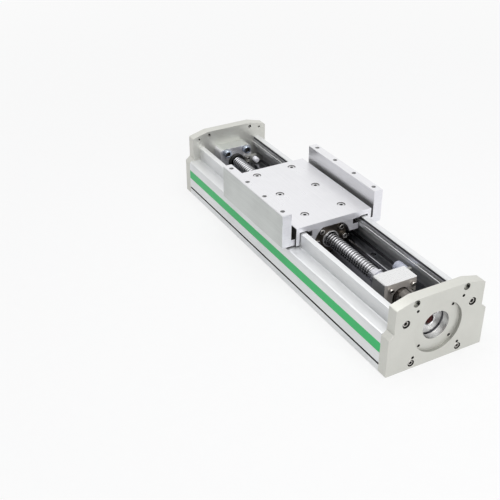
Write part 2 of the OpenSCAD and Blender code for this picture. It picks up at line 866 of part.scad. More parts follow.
// Jaw coupling between the screw and the motor
module jaws(from, to, turn) {
    for (i = [0:2]) {
        translate([from, 0, axis_z]) rotate([turn + i * 120, 0, 0]) rotate([90, 0, 90])
            linear_extrude(to - from) intersection() {
                difference() {
                    circle(r = hub_r - 0.3);
                    circle(r = hub_r * 0.52);
                }
                polygon([[0, 0], [30 * cos(22), 30 * sin(22)], [42, 0], [30 * cos(22), -30 * sin(22)]]);
            }
    }
}

module at_clamp_screw(x) {
    translate([x, clamp_seat, axis_z + clamp_rise]) rotate([-90, 0, 0]) children();
}

module clamp_screw_hole(x) {
    at_clamp_screw(x) {
        cylinder(h = hub_r, r = head_r(clamp_screw_d) + 0.3);
        translate([0, 0, -clamp_seat]) cylinder(h = clamp_seat + 1, r = clear_r(clamp_screw_d));
        translate([0, 0, -2 * hub_r]) cylinder(h = 2 * hub_r, r = tap_r(clamp_screw_d));
    }
}

module hub(from, to, bore) {
    difference() {
        rod_x(from, to, 0, axis_z, hub_r);
        rod_x(from - 1, to + 1, 0, axis_z, bore);
    }
}

module screw_hub() {
    color(silver) {
        difference() {
            hub(x_screw_hub, x_screw_jaw, drive_d / 2 + fit);
            box([x_screw_hub - 1, -0.75, axis_z], [x_screw_jaw - 5, 0.75, axis_z + hub_r + 1]);
            clamp_screw_hole(x_screw_hub + clamp_screw_in);
        }
        jaws(x_screw_jaw - 1, x_screw_jaw + jaw_len, 0);
    }
}

module motor_hub() {
    color(silver) {
        difference() {
            hub(x_motor_jaw, x_motor_hub, hub_bore_r);
            box([x_motor_jaw + 5, -0.75, axis_z], [x_motor_hub + 1, 0.75, axis_z + hub_r + 1]);
            clamp_screw_hole(x_motor_hub - clamp_screw_in);
        }
        jaws(x_motor_jaw - jaw_len, x_motor_jaw + 1, 60);
    }
}

module coupling_spider() {
    from = x_screw_jaw + 1;
    color([0.75, 0.15, 0.12]) difference() {
        rod_x(from, x_motor_jaw - 1, 0, axis_z, hub_r - 0.5);
        rod_x(from - 1, x_motor_jaw, 0, axis_z, 5);
        for (i = [0:5]) {
            translate([from - 1, 0, axis_z]) rotate([i * 60, 0, 0]) rotate([90, 0, 90])
                linear_extrude(spider_t + 2) difference() {
                    polygon([[0, 0], [30 * cos(23), 30 * sin(23)], [42, 0], [30 * cos(23), -30 * sin(23)]]);
                    circle(r = hub_r * 0.5);
                }
        }
    }
}

module hub_clamp_screws() {
    color(steel) for (x = [x_screw_hub + clamp_screw_in, x_motor_hub - clamp_screw_in]) {
        at_clamp_screw(x) cap_screw(clamp_screw_d, 2 * clamp_seat + 3);
    }
}

// Carriage: the table with its outer arms, and two saddles below it
function table_half() = [
    [foot_out - 0.6, leg_top],
    [foot_out - 0.6, wall_top + top_gap], [wall_out + side_gap, wall_top + top_gap],
    [wall_out + side_gap, arm_bottom + 1], [wall_out + side_gap + 1, arm_bottom],
    [arm_out - 1, arm_bottom], [arm_out, arm_bottom + 1],
    [arm_out, arm_top - 0.8], [arm_out - 0.8, arm_top],
    [slot_out + 0.8, arm_top], [slot_out, arm_top - 0.8],
    [slot_out, slot_z], [table_w / 2, slot_z],
    [table_w / 2, table_top - 0.6], [table_w / 2 - 0.6, table_top]
];

module carriage_table() {
    color(silver) difference() {
        along_x(carriage_x - table_len / 2 - 2, carriage_x + table_len / 2 - 2) polygon(tops(table_half()));
        both_sides() {
            for (end = [-1, 1]) {
                outer_x = carriage_x + end * (arm_len / 2 + 20);
                box([outer_x - 20, table_w / 2 + eps, 0], [outer_x + 20, arm_out + 1, arm_top + 1]);
            }
            for (i = [-1.5:1:1.5]) {
                rod_z(arm_top - 18, arm_top + 1, carriage_x + i * load_pitch, load_y(), tap_r(load_bolt_d));
            }
            table_screw_places() {
                translate([0, 0, -table_t - 1]) cylinder(h = table_t + 2, r = clear_r(table_screw_d));
                translate([0, 0, -table_screw_d * 0.55]) cylinder(h = table_screw_d * 0.55 + eps,
                    r1 = clear_r(table_screw_d), r2 = table_screw_d + 0.2);
            }
        }
    }
}

function load_y() = slot_out + arm_t / 2;

module table_screw_places() {
    for (x = table_screw_x) {
        translate([carriage_x + x + table_row_shift, table_screw_y, table_top]) children();
    }
}

module table_screws() {
    d = table_screw_d;
    color(steel) both_sides() table_screw_places() difference() {
        union() {
            translate([0, 0, -d * 0.55 + 0.05]) cylinder(h = d * 0.55 - 0.3, r1 = shank_r(d), r2 = d - 0.25);
            translate([0, 0, -table_t - 12]) cylinder(h = table_t + 12 - 0.3, r = shank_r(d));
        }
        translate([0, 0, -3]) cylinder(h = 4, r = hex_r(d - 1), $fn = 6);
    }
}

module saddle_section() {
    difference() {
        polygon([
            [12, leg_top], [12, guide_top], [foot_out, guide_top], [foot_out, guide_top + foot_h - 1],
            [foot_out - 1, guide_top + foot_h], [leg_out, guide_top + foot_h], [leg_out, leg_top]
        ]);
        translate([0, axis_z]) circle(r = arch_r);
    }
}

module saddle() {
    color(silver) difference() {
        along_x(x_saddle_back, x_saddle) saddle_section();
        table_screw_places() translate([0, 0, -table_t - 15]) cylinder(h = 16, r = tap_r(table_screw_d));
        guide_screw_places() {
            translate([0, 0, -1]) cylinder(h = foot_h + 2, r = clear_r(guide_screw_d));
            translate([0, 0, foot_h - guide_sink])
                cylinder(h = guide_sink + 1, r = head_r(guide_screw_d) + 0.3);
        }
        at_bracket_screw() translate([0, 0, -leg_out])
            cylinder(h = leg_out + 1, r = clear_r(bracket_screw_d));
    }
}

module at_bracket_screw() {
    translate([x_bracket - bracket_t / 2, leg_out, leg_top - 5]) rotate([-90, 0, 0]) children();
}

module saddle_left() {
    saddle();
}

module saddle_right() {
    mirror([0, 1, 0]) saddle();
}

module guide_screw_places() {
    for (x = [guide_front_x, guide_rear_x], sx = [-1, 1]) {
        translate([x + sx * guide_screw_pitch / 2, guide_screw_y, guide_top]) children();
    }
}

// Ball nut, its bracket, wipers and screws
module nut_screw_ring(x) {
    for (a = nut_screw_angles) {
        translate([x, cos(a) * nut_pcd / 2, axis_z + sin(a) * nut_pcd / 2]) children();
    }
}

module nut_bracket_section() {
    waist_z = rail_top + 3.5;
    polygon(tops([
        [bracket_low_half - 6, trough_z + 2.3], [bracket_low_half, trough_z + 8.3],
        [bracket_low_half, rail_top + 1], [leg_in, waist_z], [leg_in, waist_z + 1]
    ]));
    intersection() {
        translate([0, axis_z]) circle(r = arch_r - 2 * fit);
        translate([-arch_r, guide_top]) square([2 * arch_r, leg_top - guide_top]);
    }
    translate([-leg_in, waist_z]) square([2 * leg_in, guide_top - waist_z + eps]);
}

module nut_bracket() {
    color(silver) difference() {
        along_x(x_bracket_back, x_bracket) nut_bracket_section();
        rod_x(x_bracket_back - 1, x_bracket + 1, 0, axis_z, nut_d / 2 + fit);
        nut_screw_ring(x_bracket_back - 1) rotate([0, 90, 0])
            cylinder(h = bracket_t + 2, r = tap_r(nut_screw_d));
        both_sides() at_bracket_screw() translate([0, 0, -leg_out + 9])
            cylinder(h = leg_out, r = tap_r(bracket_screw_d));
    }
}

module nut_bracket_screws() {
    color(steel) both_sides() at_bracket_screw() cap_screw(bracket_screw_d, leg_out - 10);
}

module ball_nut() {
    color(dark_steel) difference() {
        union() {
            rod_x(x_bracket - nut_len, x_bracket + eps, 0, axis_z, nut_d / 2);
            intersection() {
                rod_x(x_bracket, x_flange, 0, axis_z, flange_d / 2);
                box([x_bracket, -flange_d, axis_z - flange_flat / 2],
                    [x_flange, flange_d, axis_z + flange_flat / 2]);
            }
        }
        rod_x(x_bracket - nut_len - 1, x_flange + 1, 0, axis_z, bore_r);
        nut_screw_ring(x_bracket - 1) rotate([0, 90, 0])
            cylinder(h = flange_t + 2, r = clear_r(nut_screw_d));
    }
}

module nut_wipers() {
    rear_x = x_bracket - nut_len - wiper_t;
    recess = wiper_t / 2;
    color([0.93, 0.93, 0.93]) {
        wiper(x_flange, x_flange + recess, x_flange + wiper_t + 1);
        wiper(rear_x, rear_x - 1, rear_x + recess);
    }
}

// The recess leaves a thin rim round the wiper's outer face
module wiper(x, recess_from, recess_to) {
    difference() {
        rod_x(x, x + wiper_t, 0, axis_z, wiper_r);
        rod_x(x - 1, x + wiper_t + 1, 0, axis_z, bore_r);
        rod_x(recess_from, recess_to, 0, axis_z, wiper_r - wiper_rim);
    }
}

module nut_screws() {
    color(steel) nut_screw_ring(x_flange) rotate([0, 90, 0])
        cap_screw(nut_screw_d, flange_t + bracket_t - 1);
}

// Guide blocks: a steel body between two end caps, open below round the rail
module guide_section(inset) {
    difference() {
        polygon(tops([
            [guide_w / 2 - 2.5 - inset, rail_h * 0.3], [guide_w / 2 - 0.5 - inset, rail_h * 0.42],
            [guide_w / 2 - 0.5 - inset, guide_h * 0.62], [guide_w / 2 - inset, guide_h * 0.68],
            [guide_w / 2 - inset, guide_h - 1.5], [guide_w / 2 - 1.5 - inset, guide_h - inset]
        ]));
        polygon(tops(rail_half(rail_gap)));
    }
}

module guide_block(x) {
    color(steel) difference() {
        translate([0, rail_y, floor_z]) along_x(x - guide_len / 2 + cap_t, x + guide_len / 2 - cap_t)
            guide_section(0);
        for (sx = [-1, 1]) {
            rod_z(guide_top - 8, guide_top + 1, x + sx * guide_screw_pitch / 2, guide_screw_y,
                tap_r(guide_screw_d));
        }
    }
}

module guide_block_front_left() {
    guide_block(guide_front_x);
}

module guide_block_front_right() {
    mirror([0, 1, 0]) guide_block(guide_front_x);
}

module guide_block_rear_left() {
    guide_block(guide_rear_x);
}

module guide_block_rear_right() {
    mirror([0, 1, 0]) guide_block(guide_rear_x);
}

module guide_end_caps() {
    color([0.08, 0.08, 0.09]) both_sides() for (x = [guide_front_x, guide_rear_x], end = [-1, 1]) {
        centre = x + end * (guide_len - cap_t) / 2;
        translate([0, rail_y, floor_z]) along_x(centre - cap_t / 2, centre + cap_t / 2) guide_section(0.3);
    }
}

module guide_block_screws() {
    color(steel) both_sides() guide_screw_places() translate([0, 0, foot_h - guide_sink])
        cap_screw(guide_screw_d, foot_h - guide_sink + 7);
}

base_extrusion();
strip_left();
strip_right();
motor_end_plate();
rear_end_plate();
motor_plate_screws();
rear_plate_screws();
rail_left();
rail_right();
rail_screws();
fixed_housing();
fixed_housing_cover();
housing_cover_screws();
housing_screws();
fixed_bearing_outer_rings();
rear_housing();
rear_housing_screws();
rear_bearing_outer_ring();
rubber_ring();
bumper_brackets();
bumper_bracket_screws();
front_bumper();
rear_bumper();
ball_screw();
screw_collar();
bearing_inner_rings();
bearing_balls();
lock_nut();
retaining_ring();
screw_hub();
coupling_spider();
motor_hub();
hub_clamp_screws();
carriage_table();
saddle_left();
saddle_right();
table_screws();
nut_bracket();
nut_bracket_screws();
ball_nut();
nut_wipers();
nut_screws();
guide_block_front_left();
guide_block_front_right();
guide_block_rear_left();
guide_block_rear_right();
guide_end_caps();
guide_block_screws();
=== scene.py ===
# %% [markdown]
# # A ball screw linear module
# The object is a long extruded base with a carriage that slides along it. A ball screw between
# two bearing housings drives the carriage, and the top cover is off, so the mechanism shows. The
# solids come from the frame. Here they get their finishes, their broken edges and the fine
# shapes: the ground thread, the knurled screw heads and the marks that machining leaves.

# %% Load the frame
import json
import math

import bmesh
import bpy
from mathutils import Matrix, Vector


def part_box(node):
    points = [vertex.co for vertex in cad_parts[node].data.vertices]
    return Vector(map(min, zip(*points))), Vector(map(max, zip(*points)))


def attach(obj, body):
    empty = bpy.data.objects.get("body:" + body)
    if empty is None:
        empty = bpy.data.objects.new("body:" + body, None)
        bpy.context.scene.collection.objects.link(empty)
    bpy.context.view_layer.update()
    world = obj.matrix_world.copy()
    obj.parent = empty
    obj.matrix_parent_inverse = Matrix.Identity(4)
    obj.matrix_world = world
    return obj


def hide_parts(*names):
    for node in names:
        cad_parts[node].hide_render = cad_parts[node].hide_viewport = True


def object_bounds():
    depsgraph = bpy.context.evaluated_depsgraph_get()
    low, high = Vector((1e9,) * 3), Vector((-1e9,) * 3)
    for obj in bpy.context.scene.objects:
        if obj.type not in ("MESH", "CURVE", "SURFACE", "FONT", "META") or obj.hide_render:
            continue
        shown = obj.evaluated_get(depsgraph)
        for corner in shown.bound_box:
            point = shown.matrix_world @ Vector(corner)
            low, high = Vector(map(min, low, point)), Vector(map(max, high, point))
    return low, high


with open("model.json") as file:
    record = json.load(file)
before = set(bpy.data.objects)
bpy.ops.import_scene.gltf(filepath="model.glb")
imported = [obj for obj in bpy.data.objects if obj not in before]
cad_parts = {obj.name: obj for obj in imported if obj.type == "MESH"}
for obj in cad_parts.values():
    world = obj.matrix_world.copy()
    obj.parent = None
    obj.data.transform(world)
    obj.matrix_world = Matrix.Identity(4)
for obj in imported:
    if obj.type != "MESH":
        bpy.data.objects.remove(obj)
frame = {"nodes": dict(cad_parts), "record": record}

MM = 0.001
CAD_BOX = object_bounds()
SLOT_OF = {part["node"]: part["material_slot"] for part in frame["record"]["subparts"]}
BODY_OF = {
    node: body
    for body, nodes in frame["record"]["behaviour"]["bodies"].items()
    for node in nodes
}
print(len(frame["nodes"]), "nodes,", "box", [[round(v, 4) for v in corner] for corner in CAD_BOX])

# %% [markdown]
# ## The camera
# A long lens from above one corner keeps the far end nearly as large as the near one, as a
# studio shot of a machine part does. Its place, in metres, and its direction are plain vectors.

# %% Place the camera
CAMERA_AT = Vector((0.9261, -0.6155, 0.6915))
CAMERA_LOOKS = Vector((-0.7466, 0.4093, -0.5246))
camera_data = bpy.data.cameras.new("studio_camera")
camera_data.sensor_width = 36.0
camera_data.lens = 62.94
camera = bpy.data.objects.new("studio_camera", camera_data)
camera.location = CAMERA_AT
camera.rotation_euler = CAMERA_LOOKS.to_track_quat("-Z", "Y").to_euler()
bpy.context.scene.collection.objects.link(camera)
bpy.context.scene.camera = camera
print("camera looks", [round(v, 3) for v in CAMERA_LOOKS])

# %% [markdown]
# ## Node helpers
# Every finish is a small node tree. These helpers start one and add the nodes that finishes
# share: a noise, a sum, a change of range, a mix of two colours and a bump. Patterns read Object
# coordinates, which stay with the metal when a body moves, because every mesh here keeps its
# place in its own vertices.

# %% Helpers for node trees
def add_node(tree, kind, **settings):
    node = tree.nodes.new(kind)
    for key, value in settings.items():
        setattr(node, key, value)
    return node


def new_finish(name):
    material = bpy.data.materials.new(name)
    material.use_nodes = True
    shader = material.node_tree.nodes["Principled BSDF"]
    return material, material.node_tree, shader


def object_space(tree, stretch=(1, 1, 1)):
    coords = add_node(tree, "ShaderNodeTexCoord")
    mapping = add_node(tree, "ShaderNodeMapping")
    mapping.inputs["Scale"].default_value = stretch
    tree.links.new(coords.outputs["Object"], mapping.inputs["Vector"])
    return mapping.outputs["Vector"]


def noise(tree, vector, scale, detail=4.0, roughness=0.55):
    node = add_node(tree, "ShaderNodeTexNoise")
    node.inputs["Scale"].default_value = scale
    node.inputs["Detail"].default_value = detail
    node.inputs["Roughness"].default_value = roughness
    tree.links.new(vector, node.inputs["Vector"])
    return node.outputs["Fac"]


def math_node(tree, operation, first, second=None):
    node = add_node(tree, "ShaderNodeMath", operation=operation)
    for index, value in enumerate((first, second)):
        if value is None:
            continue
        if isinstance(value, (int, float)):
            node.inputs[index].default_value = value
        else:
            tree.links.new(value, node.inputs[index])
    return node.outputs[0]


def remap(tree, value, low, high, in_low=0.3, in_high=0.7):
    node = add_node(tree, "ShaderNodeMapRange")
    node.inputs["From Min"].default_value = in_low
    node.inputs["From Max"].default_value = in_high
    node.inputs["To Min"].default_value = low
    node.inputs["To Max"].default_value = high
    tree.links.new(value, node.inputs["Value"])
    return node.outputs["Result"]


def blend_colours(tree, factor, first, second):
    node = add_node(tree, "ShaderNodeMix", data_type="RGBA")
    node.inputs["A"].default_value = (*first, 1)
    node.inputs["B"].default_value = (*second, 1)
    tree.links.new(factor, node.inputs["Factor"])
    return node.outputs["Result"]


def shade(colour, factor):
    return tuple(min(1.0, channel * factor) for channel in colour)


def add_bump(tree, shader, height, strength, distance):
    node = add_node(tree, "ShaderNodeBump")
    node.inputs["Strength"].default_value = strength
    node.inputs["Distance"].default_value = distance
    tree.links.new(height, node.inputs["Height"])
    tree.links.new(node.outputs["Normal"], shader.inputs["Normal"])


print("helpers ready")

# %% [markdown]
# ## Metal finishes
# Anodised aluminium isn't a mirror: its oxide layer scatters light, so it is rough and only
# partly metallic. Extruded, ground and turned metal carry fine lines in one direction. One
# function makes them all: a noise stretched along the lines gives the colour, the roughness and
# a very shallow bump, and a second, slow noise gives the clouding of real batches. The table
# gives each finish its colour and roughness, then its lines' direction, scale and depth, and
# then how metallic, clouded and worn it is.

# %% One function for metal
CLOUD_SCALE = 22.0
LINES_HIGH = 0.04 * MM


def metal(name, colour, roughness, lines=(1, 1, 1), line_scale=900.0, line_depth=0.15,
          metallic=1.0, clouding=0.04, wear=0.08):
    material, tree, shader = new_finish(name)
    grain = noise(tree, object_space(tree, lines), line_scale, detail=3.0)
    cloud = noise(tree, object_space(tree), CLOUD_SCALE, detail=5.0)
    mottled = math_node(
        tree, "ADD", remap(tree, grain, -0.5, 0.5), remap(tree, cloud, 0.0, 1.0))
    factor = remap(tree, mottled, 0.0, 1.0, -0.2, 1.2)
    tint = blend_colours(tree, factor, shade(colour, 1 - clouding), shade(colour, 1 + clouding))
    tree.links.new(tint, shader.inputs["Base Color"])
    rough = remap(tree, mottled, roughness + wear, roughness - wear, -0.3, 1.3)
    tree.links.new(rough, shader.inputs["Roughness"])
    shader.inputs["Metallic"].default_value = metallic
    add_bump(tree, shader, grain, line_depth, LINES_HIGH)
    return material


ALONG_X = (0.02, 1, 1)
ALONG_Y = (1, 0.06, 1)
ROUND_X = (1, 0.05, 0.05)
ROUND_Z = (0.05, 0.05, 1)
NO_LINES = (1, 1, 1)
POLISHED = ((0.56, 0.56, 0.58), 0.10, ROUND_X, 1200.0, 0.08, 1.0, 0.05, 0.05)
METALS = {
    "anodised_profile": ((0.77, 0.78, 0.785), 0.38, ALONG_X, 700.0, 0.25, 0.65),
    "anodised_carriage": ((0.79, 0.79, 0.81), 0.34, ALONG_X, 900.0, 0.20, 0.80),
    "plate_anodised": ((0.63, 0.63, 0.588), 0.42, NO_LINES, 1500.0, 0.35, 0.70),
    "machined_block": ((0.78, 0.78, 0.78), 0.30, ALONG_Y, 1600.0, 0.12, 0.80),
    "hub_aluminium": ((0.72, 0.72, 0.73), 0.26, ROUND_X, 900.0, 0.30, 1.0),
    "rail_steel": ((0.46, 0.46, 0.48), 0.14, ALONG_X, 1200.0, 0.10, 1.0, 0.05, 0.05),
    "guide_steel": ((0.36, 0.36, 0.37), 0.30, ALONG_X, 900.0, 0.20),
    "bearing_steel": ((0.66, 0.66, 0.70), 0.20, ROUND_X, 900.0, 0.15),
    "screw_chrome": POLISHED,
    "nut_steel": ((0.10, 0.085, 0.07), 0.32, ROUND_X, 900.0, 0.20, 0.9, 0.12),
    "screw_steel": ((0.60, 0.58, 0.55), 0.24, NO_LINES, 900.0, 0.15),
    "zinc_steel": ((0.50, 0.56, 0.66), 0.20, NO_LINES, 900.0, 0.15),
    "table_screw_steel": ((0.70, 0.70, 0.71), 0.30, NO_LINES, 900.0, 0.15),
    "black_oxide": ((0.045, 0.045, 0.05), 0.36, NO_LINES, 900.0, 0.25, 0.7, 0.15),
    "milled_end": ((0.84, 0.84, 0.88), 0.36, ALONG_Y, 1300.0, 0.20, 0.55),
    # Drawn sides: their own duller tone, partly painted shade; on the rear housing's top only painted
    # shade.
    "drawn_side_and_painted_shade": ((0.58, 0.60, 0.585), 0.40, ALONG_X, 800.0, 0.25, 0.80),
    # The channel's inside is painted dark: painted shade in the hollow.
    "channel_painted_shade": ((0.15, 0.15, 0.165), 0.40, ALONG_X, 700.0, 0.25, 0.85),
    "turned_bore": ((0.70, 0.70, 0.68), 0.27, ROUND_X, 900.0, 0.30, 0.85),
    # A darker turned finish; on the pilot recess's wall it is painted shade.
    "turned_step": ((0.40, 0.40, 0.375), 0.36, ROUND_X, 900.0, 0.30, 0.70),
    "bright_ring": ((0.92, 0.92, 0.93), 0.22, ROUND_X, 900.0, 0.15, 0.55),
    "tapped_hole": ((0.60, 0.60, 0.60), 0.34, ROUND_Z, 1000.0, 0.60, 0.35),
    # Near black: painted shade for hole walls, countersinks, slots, gaps between parts and screw
    # sockets.
    "painted_shade_black": ((0.06, 0.058, 0.055), 0.45, NO_LINES, 900.0, 0.30, 0.6, 0.2),
    # The bearing cover's front, lighter and less metallic: painted light on one side.
    "cover_face_painted_light": ((0.86, 0.80, 0.755), 0.34, ALONG_Y, 1600.0, 0.15, 0.25),
    "ground_block": ((0.78, 0.78, 0.82), 0.34, ALONG_Y, 1600.0, 0.12, 0.65),
    # Dark oxide for the lock nut; on the screw's hub it is painted shade.
    "dark_oxide_and_painted_shade": ((0.15, 0.14, 0.13), 0.26, ROUND_X, 900.0, 0.30, 1.0, 0.12),
}
FINISH = {name: metal(name, *values) for name, values in METALS.items()}
print(len(FINISH), "metal finishes")

# %% [markdown]
# ## Plastics and rubber
# The side strips are smooth extruded plastic with a soft gloss. The rear bumper is turned white
# plastic, the front one clear urethane that lets some light through, and the end caps are
# moulded black plastic with a fine spark-eroded texture. The rubber ring and the coupling's
# spider are duller and more uneven.

# %% One function for plastic
MOTTLE_SCALE = 40.0
TEXTURE_HIGH = 0.03 * MM


def plastic(name, colour, roughness, texture=1200.0, depth=0.2, gloss=0.5, variation=0.05):
    material, tree, shader = new_finish(name)
    fine = noise(tree, object_space(tree), texture, detail=2.0)
    slow = noise(tree, object_space(tree), MOTTLE_SCALE, detail=4.0)
    tint = blend_colours(
        tree, remap(tree, slow, 0.0, 1.0), shade(colour, 1 - variation), shade(colour, 1 + variation))
    tree.links.new(tint, shader.inputs["Base Color"])
    tree.links.new(remap(tree, slow, roughness - 0.05, roughness + 0.05), shader.inputs["Roughness"])
    shader.inputs["Specular IOR Level"].default_value = gloss
    add_bump(tree, shader, fine, depth, TEXTURE_HIGH)
    return material


PLASTICS = {
    "green_strip": ((0.03, 0.60, 0.17), 0.34, 300.0, 0.12, 0.3),
    "white_plastic": ((0.86, 0.86, 0.90), 0.32, 600.0, 0.15),
    "clear_urethane": ((0.74, 0.77, 0.90), 0.12, 500.0, 0.12, 0.8),
    "black_plastic": ((0.03, 0.03, 0.033), 0.45, 1800.0, 0.4),
    "black_rubber": ((0.018, 0.018, 0.018), 0.62, 1400.0, 0.5, 0.35),
    "spider_rubber": ((0.42, 0.035, 0.025), 0.50, 1000.0, 0.3, 0.4),
}
FINISH.update({name: plastic(name, *values) for name, values in PLASTICS.items()})
clear_shader = FINISH["clear_urethane"].node_tree.nodes["Principled BSDF"]
clear_shader.inputs["Transmission Weight"].default_value = 0.45
print("finishes:", ", ".join(sorted(FINISH)))

# %% [markdown]
# ## Dress the solids
# Each CAD solid keeps its mesh and takes the finish of its slot in the record. A few parts
# share a slot with others and still look different, so they have a finish of their own. The
# screw's hub is painted dark there, as shade.

# %% Give each solid its finish
OWN_FINISH = {
    "nut_wipers": "bright_ring",
    # The lock nut is dark oxide; the screw's hub is painted dark as shade.
    "lock_nut": "dark_oxide_and_painted_shade",
    "screw_hub": "dark_oxide_and_painted_shade",
    "front_bumper": "clear_urethane",
    "rear_housing": "ground_block",
    "bumper_brackets": "turned_step",
}
for node_name, solid in frame["nodes"].items():
    finish = FINISH[OWN_FINISH.get(node_name, SLOT_OF[node_name])]
    solid.data.materials.clear()
    solid.data.materials.append(finish)
print("dressed", len(frame["nodes"]), "solids")

# %% [markdown]
# ## Broken edges
# No machined or extruded part has knife edges: a file or the mill takes off a few tenths of a
# millimetre, and that narrow facet is what catches the light. A copy of the solid is welded,
# its flat faces joined, and its sharp edges bevelled. The copy then stands for the solid.

# %% Bevel a copy of a solid
SAME_PLACE = 0.002 * MM
EDGE_ANGLE = math.radians(35)
SHADE_ANGLE = math.radians(50)


def weld(mesh, flat_angle=0.4):
    """Merges double points, then joins the triangles of each flat face."""
    shape = bmesh.new()
    shape.from_mesh(mesh)
    bmesh.ops.remove_doubles(shape, verts=shape.verts, dist=SAME_PLACE)
    bmesh.ops.dissolve_degenerate(shape, edges=shape.edges, dist=SAME_PLACE)
    bmesh.ops.dissolve_limit(
        shape, angle_limit=math.radians(flat_angle), verts=shape.verts, edges=shape.edges)
    shape.to_mesh(mesh)
    shape.free()


def plain_mesh(obj):
    """Applies the live modifiers by taking the evaluated mesh, and drops them."""
    graph = bpy.context.evaluated_depsgraph_get()
    graph.update()
    mesh = bpy.data.meshes.new_from_object(obj.evaluated_get(graph))
    obj.modifiers.clear()
    obj.data = mesh


def link(name, mesh):
    obj = bpy.data.objects.new(name, mesh)
    bpy.context.scene.collection.objects.link(obj)
    return obj


def repaint(piece, rules):
    """Gives another finish to the faces that a rule picks by their centre and direction."""
    for finish, picks in rules:
        piece.data.materials.append(FINISH[finish])
        for face in piece.data.polygons:
            if picks(face.center / MM, face.normal):
                face.material_index = len(piece.data.materials) - 1


def turned(name, outline, axis_height, steps=64):
    """A solid of revolution about the screw's axis from (x, radius) points."""
    shape = bmesh.new()
    rings = []
    for x, r in outline:
        if r == 0:
            rings.append([shape.verts.new((x, 0, axis_height))])
            continue
        rings.append([
            shape.verts.new((x, r * math.cos(2 * math.pi * i / steps),
                             axis_height + r * math.sin(2 * math.pi * i / steps)))
            for i in range(steps)
        ])
    for near, far in zip(rings, rings[1:]):
        for i in range(steps):
            j = (i + 1) % steps
            corners = [near[i % len(near)], far[i % len(far)], far[j % len(far)], near[j % len(near)]]
            unique = list(dict.fromkeys(corners))
            if len(unique) > 2:
                shape.faces.new(unique)
    bmesh.ops.recalc_face_normals(shape, faces=shape.faces)
    mesh = bpy.data.meshes.new(name)
    shape.to_mesh(mesh)
    shape.free()
    mesh.shade_smooth()
    mesh.set_sharp_from_angle(angle=EDGE_ANGLE)
    return link(name, mesh)


def carve(piece, cutter):
    """Takes the cutter's shape out of the piece."""
    cut = piece.modifiers.new("carve", "BOOLEAN")
    cut.operation = "DIFFERENCE"
    cut.solver = "EXACT"
    cut.object = cutter
    plain_mesh(piece)
    bpy.data.objects.remove(cutter)


def soften(node_name, width, rules=(), cutter=None):
    """Puts an edged copy in a solid's place, on the solid's body and with its finish."""
    solid = frame["nodes"][node_name]
    piece = link(node_name + "_edged", solid.data.copy())
    weld(piece.data)
    if cutter:
        carve(piece, cutter)
        weld(piece.data)
    bevel = piece.modifiers.new("broken_edges", "BEVEL")
    bevel.width = width
    bevel.segments = 2
    bevel.limit_method = "ANGLE"
    bevel.angle_limit = EDGE_ANGLE
    bevel.use_clamp_overlap = True
    bevel.harden_normals = False
    plain_mesh(piece)
    piece.data.shade_smooth()
    piece.data.set_sharp_from_angle(angle=SHADE_ANGLE)
    flat = piece.modifiers.new("flat_faces", "WEIGHTED_NORMAL")
    flat.keep_sharp = True
    flat.weight = 100
    plain_mesh(piece)
    repaint(piece, rules)
    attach(piece, BODY_OF[node_name])
    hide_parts(node_name)
    return piece


print("edge helpers ready")

# %% [markdown]
# ## Faces with a finish of their own
# One part often has several surfaces: sawn or milled ends, drawn sides, a turned bore, threads
# in the tapped holes. Some rules paint light or shade instead: a near-black finish paints shade
# in hole walls, countersinks, slots and gaps between parts; the channel's inside, the drawn sides
# in part, the pilot recess's wall and the rear housing's top are painted darker; and the bearing
# cover's front is painted lighter. Each rule below looks at a face's centre, in millimetres, and
# at its direction, and says whether the face takes that finish.

# %% Measure what the rules need
AXIS_Z = sum(corner[2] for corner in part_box("ball_screw")) / 2
AXIS_MM = AXIS_Z / MM
TABLE_LOW, TABLE_HIGH = (Vector(corner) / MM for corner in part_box("carriage_table"))
PLATE_HIGH = Vector(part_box("motor_end_plate")[1]) / MM
BASE_LOW, BASE_HIGH = (Vector(corner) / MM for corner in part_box("base_extrusion"))
WIPER_LIP = 2.2
WIPER_INNER_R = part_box("nut_wipers")[1][1] / MM - WIPER_LIP
ARM_THICK = 14.5
ARM_DEPTH = 26.0
HOLE_INSET = 2.0
END_INSET = 3.0
SINKS_WITHIN = 60.0
OVER_WALL = (44.0, 69.0)
SADDLE_SIDE = 36.0
BORE_R = 20.0
PILOT_R = 36.6
PLATE_FLAT = 40.0
PLATE_SIDE = 67.5
PLATE_SLOPE = 0.27
PLATE_RIM = 0.8
COVER_HOLE_LOW = 92.0
CHANNEL_HALF = 46.4
CHANNEL_FLOOR = 5.0
LIP_HALF = 45.0
LIP_TOP = BASE_HIGH.z - 4.0
MOUTH_EDGE = 1.5
SLOT_DEPTH = 6.5
SLOT_HEIGHTS = (8, 16)
STRAIGHT = 0.95
ASIDE = 0.5
print("screw's axis at", round(AXIS_MM, 2), "mm, base top at", round(BASE_HIGH.z, 2), "mm")

# %% Write the rules
def from_axis(at):
    return math.hypot(at.y, at.z - AXIS_MM)


def on_cylinder(at, facing, radius):
    return abs(from_axis(at) - radius) < 1 and abs(facing.x) < ASIDE


def on_end(at, facing):
    return abs(facing.x) > STRAIGHT


def on_round_wall(slope, least):
    """Whether a facet belongs to a round wall, and not to a flat side."""
    return least < abs(slope) < 0.9995


def within_table(at):
    return TABLE_LOW.x + END_INSET < at.x < TABLE_HIGH.x - END_INSET


def on_table_side(at, facing):
    return abs(facing.y) > STRAIGHT and abs(at.y) > TABLE_HIGH.y - 1


def in_arm_hole(at, facing):
    upright_and_round = abs(facing.z) < 0.1 and on_round_wall(facing.x, 0.03)
    over_arm = TABLE_HIGH.y - ARM_THICK + HOLE_INSET < abs(at.y) < TABLE_HIGH.y - HOLE_INSET
    return upright_and_round and over_arm and within_table(at)


# Countersink walls round the table's screws take painted shade.
def in_sink(at, facing):
    return 0.3 < facing.z < STRAIGHT and abs(at.y) < SINKS_WITHIN and within_table(at)


